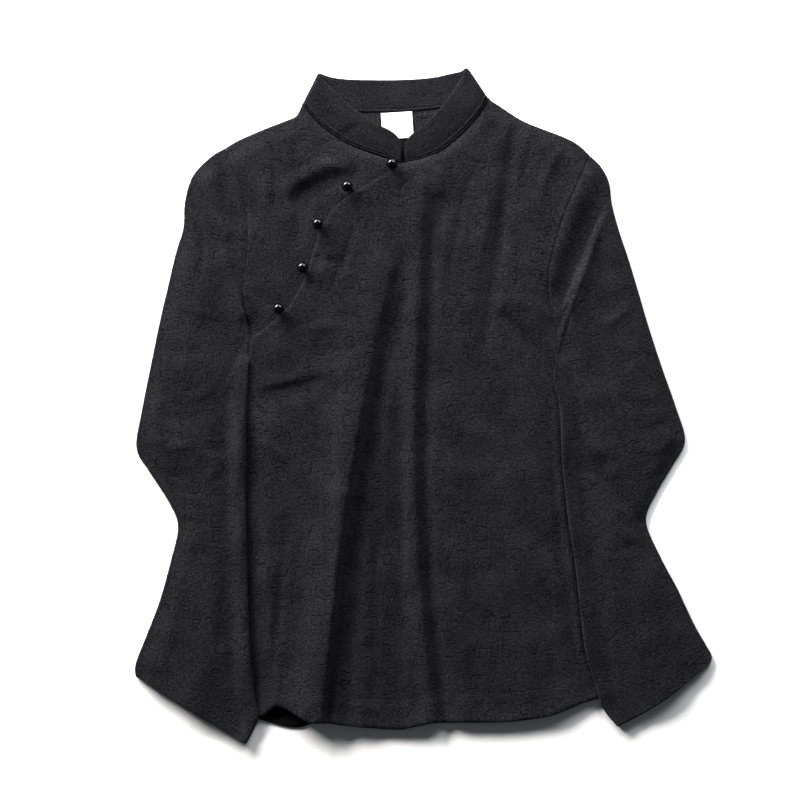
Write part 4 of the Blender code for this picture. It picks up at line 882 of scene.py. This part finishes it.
def collarPiece():
    runs = [through(collarRight, collar["step"]), creaseRun(rightCrease, -1.0, True),
            through(collarBack, collar["step"]), creaseRun(leftCrease, 1.0, False),
            through(collarLeft, collar["step"])]
    rows = np.vstack(runs)
    seam, top = rows[:, (0, 1, 4)], rows[:, (2, 3, 5)]
    height = np.linalg.norm(top - seam, axis=1)[:, None]
    counts = [len(run) for run in runs]
    starts = np.cumsum([0] + counts)
    room = np.full(len(rows), collar["room"])
    corner = collar["cornerRoom"]
    for first, last, crease in ((starts[0], starts[1], rightCrease), (starts[4], starts[5], leftCrease)):
        far = np.hypot(rows[first:last, 0] - crease[0], rows[first:last, 1] - crease[1])
        room[first:last] = corner + (collar["room"] - corner) * smoothStep(far / collar["cornerReach"])
    room[starts[1]:starts[2]] = np.linspace(corner, collar["room"], counts[1])
    room[starts[3]:starts[4]] = np.linspace(collar["room"], corner, counts[3])
    seam = seam + (top - seam) * room[:, None] / height
    share = np.array(collar["rows"]) / collar["rows"][-1]
    middle = seam[:, None, :] + share[None, :, None] * (top - seam)[:, None, :]
    flat = middle.reshape(-1, 3)
    front = flat[:, 2] > 3.0                                # only the front half is creased
    for fold in collar["creases"]:
        flat[:, 2] += foldHeight(flat[:, :2], fold) * front
    middle = flat.reshape(middle.shape)
    lying = collar["settle"] * np.exp(-(np.array(collar["rows"]) / collar["settleReach"]) ** 2)
    middle[:, :, 2] -= np.maximum(middle[:, :, 2] - 1.0, 0.0) * lying[None, :]
    normal = np.cross(np.gradient(middle, axis=0), np.gradient(middle, axis=1))
    normal /= np.linalg.norm(normal, axis=2)[:, :, None]
    up = np.array(collar["rows"])
    bulge = collar["welt"] * np.exp(-((up - collar["weltAt"]) / 0.9) ** 2)
    bulge -= collar["groove"] * np.exp(-((up - collar["grooveAt"]) / 0.6) ** 2)
    half = collar["thick"] / 2.0
    ends = np.minimum(up, up[-1] - up)
    half = half - collar["topSoft"] * np.exp(-(ends / 0.45) ** 2)
    outsideWay = np.sign(normal[0, 4, 2])                   # the first row lies at the front, outside up
    outside = middle + normal * ((half + bulge) * outsideWay)[None, :, None]
    inside = middle - normal * (half * outsideWay)[None, :, None]
    count, across = middle.shape[:2]
    corners = np.vstack((outside.reshape(-1, 3), inside.reshape(-1, 3)))
    along = np.concatenate(([0.0], np.cumsum(np.linalg.norm(np.diff(middle[:, 9], axis=0), axis=1))))
    # the figure on the band is wider than high, so its rows are drawn closer
    grain = np.stack(np.meshgrid(along, up * 1.5, indexing="ij"), axis=2).reshape(-1, 2) * 0.001 + (0.9, 0.55)

    def at(i, j, side):
        return side * count * across + i * across + j

    faces = []
    for i in range(count - 1):
        for j in range(across - 1):
            faces.append((at(i, j, 0), at(i + 1, j, 0), at(i + 1, j + 1, 0), at(i, j + 1, 0)))
            faces.append((at(i, j, 1), at(i, j + 1, 1), at(i + 1, j + 1, 1), at(i + 1, j, 1)))
        for j in (0, across - 1):
            quad = (at(i, j, 0), at(i, j, 1), at(i + 1, j, 1), at(i + 1, j, 0))
            faces.append(quad if j == 0 else quad[::-1])
    for i in (0, count - 1):
        for j in range(across - 1):
            quad = (at(i, j, 0), at(i, j + 1, 0), at(i, j + 1, 1), at(i, j, 1))
            faces.append(quad if i == 0 else quad[::-1])
    return meshPiece("standCollar", toFrame(corners), faces, np.vstack((grain, grain)), crepeCloth)


standCollar = settle(collarPiece(), "stand_collar")
print("collar made")


# Piping in the neck seam and the bound seam inside the back neck
trim = {"pipingRadius": 0.95, "room": 1.4, "sides": 14, "tapeWidth": 3.3, "tapeThick": 0.95, "step": 1.5}


def tubePiece(name, path, acrossRadius, upRadius, material, sides=trim["sides"]):
    # a closed tube of oval section along a path on the laying table
    run = np.gradient(path, axis=0)
    run /= np.linalg.norm(run, axis=1)[:, None]
    aside = np.cross(run, (0.0, 0.0, 1.0))
    aside /= np.linalg.norm(aside, axis=1)[:, None]
    rise = np.cross(aside, run)
    ends = np.ones(len(path))
    ends[[0, -1]] = 0.55                                    # both ends are drawn in
    rings = []
    for turn in np.linspace(0.0, 2.0 * math.pi, sides, endpoint=False):
        rings.append(path + ends[:, None] * (aside * acrossRadius * math.cos(turn) + rise * upRadius * math.sin(turn)))
    corners = np.stack(rings, axis=1).reshape(-1, 3)
    count = len(path)
    j = np.arange(sides)
    k = (j + 1) % sides
    faces = []
    for i in range(count - 1):
        faces += np.column_stack((i * sides + j, i * sides + k, (i + 1) * sides + k, (i + 1) * sides + j)).tolist()
    faces += [j[::-1].tolist(), (j + (count - 1) * sides).tolist()]
    along = np.concatenate(([0.0], np.cumsum(np.linalg.norm(np.diff(path, axis=0), axis=1))))
    girth = 2.0 * math.pi * acrossRadius
    grain = np.stack(np.meshgrid(along, j * girth / sides, indexing="ij"), axis=2).reshape(-1, 2)[:, ::-1] * 0.001
    wrap = np.full(len(corners), girth * 0.001)
    return meshPiece(name, toFrame(corners), faces, grain, material, wrap)


def raisedPath(line, z):
    return np.column_stack((line, np.full(len(line), z)))


pipingMiddle = cloth["wall"] * 2.2 + cloth["layerGap"]
for name, neck, room in (("Right", neckRight, trim["room"]), ("Left", neckLeft[:-1], -trim["room"])):
    line = beside(through(neck, trim["step"]), room)[1:]
    made = tubePiece("neckPiping" + name, raisedPath(line, pipingMiddle), trim["pipingRadius"], trim["pipingRadius"],
                     blackCord)
    settle(made, "neck_piping_" + name.lower(), slot="piping")
line = beside(through(neckBack, trim["step"]), trim["room"])[3:-3]
backTape = tubePiece("backNeckTape", raisedPath(line, 1.3), trim["tapeWidth"] / 2.0, trim["tapeThick"], crepeCloth)
settle(backTape, "back_neck_binding", slot="piping")
print("neck trim made")


# Surfaces that the trim lies on
def treeOf(*pieces):
    corners, faces = [], []
    for piece in pieces:
        start = len(corners)
        corners += [vertex.co.copy() for vertex in piece.data.vertices]
        faces += [[start + i for i in face.vertices] for face in piece.data.polygons]
    return BVHTree.FromPolygons(corners, faces)


def heightAt(tree, points):
    # height in mm of the uppermost cloth at each plan point
    heights = []
    for x, y, z in toFrame(np.column_stack((points, np.full(len(points), 60.0)))).tolist():
        hit = tree.ray_cast(Vector((x, y, z)), Vector((0.0, 0.0, -1.0)))[0]
        heights.append(hit.z * 1000.0 if hit else 0.0)
    return np.array(heights)


# Machine stitches: each is a short thread that dips into the cloth at both ends
stitch = {"length": 2.3, "gap": 0.9, "thread": 0.26, "stand": 0.12, "sides": 6,
          "bow": (-0.28, 0.02, 0.12, 0.02, -0.28)}         # height over the cloth along one stitch


def stitchRow(name, line, tree, material, slot, length=stitch["length"]):
    fine = through(line, 0.5)
    per = int(round(length / 0.5))
    skip = int(round(stitch["gap"] / 0.5))
    heights = heightAt(tree, fine)
    corners, faces, grain = [], [], []
    sides = stitch["sides"]
    turns = np.linspace(0.0, 2.0 * math.pi, sides, endpoint=False)
    for start in range(1, len(fine) - per - 1, per + skip):
        spots = np.round(np.linspace(start, start + per, len(stitch["bow"]))).astype(int)
        path = np.column_stack((fine[spots], heights[spots] + np.array(stitch["bow"]) + stitch["stand"]))
        run = path[-1] - path[0]
        aside = np.array((run[1], -run[0], 0.0)) / np.hypot(run[0], run[1])
        base = len(corners)
        for i, point in enumerate(path):
            radius = stitch["thread"] * (0.55 if i in (0, len(path) - 1) else 1.0)
            for turn in turns:
                corners.append(point + radius * (aside * math.cos(turn) + np.array((0.0, 0.0, math.sin(turn)))))
                grain.append((0.0, 0.0))
        for i in range(len(path) - 1):
            for j in range(sides):
                k = (j + 1) % sides
                a = base + i * sides
                faces.append((a + j, a + k, a + sides + k, a + sides + j))
        faces.append([base + j for j in reversed(range(sides))])
        faces.append([base + (len(path) - 1) * sides + j for j in range(sides)])
    made = meshPiece(name, toFrame(corners), faces, np.array(grain), material)
    return settle(made, slot=slot)


frontTree = treeOf(mainFront)
hemLine = beside(seamLine["frontHem"], body["hem"]["depth"])
hemStitches = stitchRow("hemStitches", hemLine[2:-2], frontTree, darkThread, "crepe")
for name, piece, rows, armhole, way, bow in (
        ("Right", rightSleeve, rightSleeveRows, "rightArmhole", -1.0, 1.5),
        ("Left", leftSleeve, leftSleeveRows, "leftArmhole", 1.0, 6.0)):
    cuff = sleeveGrid(rows, armhole, way, bow)[-1]
    line = beside(cuff, way * -sleeve["hem"]["depth"])[1:-1]
    stitchRow("cuffStitches" + name, line, treeOf(piece), darkThread, "crepe")
collarTree = treeOf(standCollar)
for name, neck, room in (("Right", neckRight, 1.0), ("Left", neckLeft[:-1], -1.0)):
    line = beside(through(neck, 2.0), room * (collar["room"] + collar["grooveAt"]))[4:-2]
    stitchRow("collarStitches" + name, line, collarTree, darkThread, "crepe", 1.9)
line = beside(through(neckBack, 2.0), trim["room"] + 0.55)[8:-8]
tapeStitches = stitchRow("tapeStitches", line, treeOf(backTape), darkThread, "piping", 2.0)
print("stitches made")


# Ball buttons on shanks, modelled once and copied
button = {"places": ((392, 164.5), (347.5, 187), (318, 224.5), (303, 268), (279, 309)),
          "radius": 0.0056, "drop": 0.0026,
          "seam": 0.00012, "seamDepth": 0.985}


def startEdit(piece, mode):
    bpy.ops.object.select_all(action="DESELECT")
    piece.select_set(True)
    bpy.context.view_layer.objects.active = piece
    bpy.ops.object.mode_set(mode="EDIT")
    bpy.ops.mesh.select_mode(type=mode)
    bpy.ops.mesh.select_all(action="DESELECT")
    return bmesh.from_edit_mesh(piece.data)


def modelButton():
    bpy.ops.object.select_all(action="DESELECT")
    bpy.ops.mesh.primitive_uv_sphere_add(segments=36, ring_count=24, radius=button["radius"], location=(0, 0, 0))
    ball = bpy.context.object
    shape = startEdit(ball, "EDGE")
    for edge in shape.edges:                                # the mould's parting line, a fine groove
        edge.select = all(abs(vertex.co.z) < 1.0e-6 for vertex in edge.verts)
    bpy.ops.mesh.bevel(offset=button["seam"], segments=2, affect="EDGES")
    bpy.ops.mesh.select_all(action="DESELECT")
    shape = bmesh.from_edit_mesh(ball.data)
    for edge in shape.edges:
        edge.select = all(abs(vertex.co.z) < 1.0e-6 for vertex in edge.verts)
    groove = button["seamDepth"]
    bpy.ops.transform.resize(value=(groove, groove, 1.0), center_override=(0.0, 0.0, 0.0))
    bpy.ops.mesh.select_all(action="DESELECT")
    bpy.ops.mesh.select_mode(type="FACE")
    shape = bmesh.from_edit_mesh(ball.data)
    for face in shape.faces:                                # the shank grows out of the underside
        face.select = face.calc_center_median().z < -button["radius"] * 0.955
    bpy.ops.mesh.extrude_region_move(TRANSFORM_OT_translate={"value": (0.0, 0.0, -button["drop"])})
    bpy.ops.transform.resize(value=(1.0, 1.0, 0.0), center_override=(0.0, 0.0, -button["radius"] - button["drop"] * 0.9))
    bpy.ops.object.mode_set(mode="OBJECT")
    bpy.ops.object.shade_smooth_by_angle(angle=math.radians(40))
    ball.data.materials.append(blackAcrylic)
    return ball


def placeButtons():
    model = modelButton()
    for number, (x, y) in enumerate(button["places"], start=1):
        mesh = model.data.copy()
        low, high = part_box(f"button_{number}")
        spot = toFrame([(x, y)])[0]
        for vertex in mesh.vertices:
            vertex.co.z = high[2] - button["radius"] + vertex.co.z
            vertex.co.z = max(vertex.co.z, low[2])
            vertex.co.x += spot[0]
            vertex.co.y += spot[1]
        ball = bpy.data.objects.new(f"ballButton{number}", mesh)
        scene.collection.objects.link(ball)
        settle(ball, f"button_{number}", slot="button")
    bpy.data.objects.remove(model)


placeButtons()

# Loops of cord, sewn to the edge of the flap and passed over the shanks
loop = {"radius": 0.7, "bend": 2.6, "turns": 15, "tail": 0.6}
flapEdge = through(seams["flap"], 1.0)
for number, spot in enumerate(button["places"], start=1):
    spot = np.array(spot, dtype=float)
    gaps = flapEdge - spot
    distance = np.hypot(gaps[:, 0], gaps[:, 1])
    towards = gaps[distance.argmin()] / distance.min()
    aside = np.array((towards[1], -towards[0]))
    leg = distance.min() - loop["tail"]
    arc = [spot + loop["bend"] * (aside * math.cos(turn) - towards * math.sin(turn))
           for turn in np.linspace(0.0, math.pi, loop["turns"])]
    first = [spot + towards * leg * t + aside * loop["bend"] for t in (1.0, 0.5)]
    last = [spot + towards * leg * t - aside * loop["bend"] for t in (0.5, 1.0)]
    low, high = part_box(f"button_loop_{number}")
    middle = 500.0 * (low[2] + high[2])
    path = raisedPath(through(first + arc + last, 0.8), middle)
    made = tubePiece(f"buttonLoop{number}", path, loop["radius"], loop["radius"], blackCord, 10)
    settle(made, f"button_loop_{number}", slot="piping")
print("fastenings made")


# Size label: a blank satin tab, sewn on along its upper edge and lifting a little at its free corners
label = {"corner": (381, 113.6), "width": 31.0, "height": 26.0, "tilt": 3.5, "thick": 0.00028,
         "lift": 0.9, "sewn": 4.0}


def makeLabel():
    bpy.ops.object.select_all(action="DESELECT")
    bpy.ops.mesh.primitive_grid_add(x_subdivisions=22, y_subdivisions=18, size=1.0, location=(0, 0, 0))
    tab = bpy.context.object
    tab.name = "sizeLabel"
    turn = math.radians(label["tilt"])
    across = np.array((math.cos(turn), -math.sin(turn)))
    down = np.array((math.sin(turn), math.cos(turn)))
    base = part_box("size_label")[0][2] * 1000.0
    for vertex in tab.data.vertices:
        u, v = vertex.co.x + 0.5, 0.5 - vertex.co.y
        spot = np.array(label["corner"]) + across * u * label["width"] + down * v * label["height"]
        free = smoothStep((v * label["height"] - label["sewn"]) / (label["height"] - label["sewn"]))
        lift = label["lift"] * free * (0.35 + 0.65 * abs(2.0 * u - 1.0) ** 2) + 0.12 * math.sin(u * 9.0) * free
        vertex.co = toFrame([(*spot, base + 0.3 + max(lift, 0.0))])[0]
    tab.data.materials.append(whiteSatin)
    wall = tab.modifiers.new("wall", "SOLIDIFY")
    wall.thickness = label["thick"]
    wall.offset = 0.0
    soft = tab.modifiers.new("soft", "BEVEL")
    soft.width = 0.00007
    soft.segments = 2
    for modifier in ("wall", "soft"):
        bpy.ops.object.modifier_apply(modifier=modifier)
    bpy.ops.object.shade_smooth_by_angle(angle=math.radians(40))
    settle(tab, "size_label", slot="label")
    start = np.array(label["corner"]) + across * 1.2 + down * 1.3
    row = np.array([start, start + across * 14.0, start + across * (label["width"] - 2.4)])
    return tab, stitchRow("labelStitches", row, treeOf(tab), whiteThread, "label", 1.8)


sizeLabel, labelStitches = makeLabel()
print("label made")

# Camera, floor and light
view = {"x": 400.0, "y": 400.0, "wide": 0.8, "far": 3.0}       # the photo looks straight down on this spot, mm


def makeCamera():
    data = bpy.data.cameras.new("camera")
    data.sensor_width = 36.0
    data.lens = 36.0 / (view["wide"] / view["far"])
    camera = bpy.data.objects.new("camera", data)
    scene.collection.objects.link(camera)
    camera.location = toFrame([(view["x"], view["y"], view["far"] * 1000.0)])[0]
    scene.camera = camera


def areaLight(name, place, aim, size, watts, colour):
    data = bpy.data.lights.new(name, "AREA")
    data.shape = "RECTANGLE"
    data.size, data.size_y = size
    data.energy = watts
    data.color = hexColour(colour)[:3]
    lamp = bpy.data.objects.new(name, data)
    scene.collection.objects.link(lamp)
    lamp.location = place
    lamp.rotation_euler = (Vector(aim) - Vector(place)).to_track_quat("-Z", "Y").to_euler()


def makeStage():
    bpy.ops.mesh.primitive_plane_add(size=20.0, location=(0.0, 0.0, -0.0004))
    floor = bpy.context.object
    floor.name = "floor"
    made, tree = newMaterial("palePaper")
    where = addNode(tree, "TexCoord").outputs["Object"]
    grainNoise = addNode(tree, "TexNoise", None, {"Scale": 300.0, "Detail": 2.0}, {"Vector": where})
    tone = addNode(tree, "Mix", {"data_type": "RGBA"}, {6: hexColour("#ebebea"), 7: hexColour("#f2f2f1")},
                   {0: grainNoise.outputs["Fac"]})
    shader = addNode(tree, "BsdfPrincipled", None, {"Roughness": 0.9}, {"Base Color": tone.outputs[2]})
    addNode(tree, "OutputMaterial", links={"Surface": shader.outputs[0]})
    floor.data.materials.append(made)
    world = bpy.data.worlds.new("studio")
    world.use_nodes = True
    world.node_tree.nodes["Background"].inputs["Color"].default_value = hexColour("#e9edf4")
    world.node_tree.nodes["Background"].inputs["Strength"].default_value = 0.08
    scene.world = world
    areaLight("keyWindow", (-1.8, 2.4, 1.05), (0.0, 0.0, 0.0), (2.4, 1.05), 570.0, "#fffdfb")
    areaLight("topWindow", (0.45, 1.05, 0.6), (0.0, 0.1, 0.0), (0.9, 0.5), 26.0, "#fbfcff")


makeCamera()
makeStage()
scene.view_settings.view_transform = "Standard"
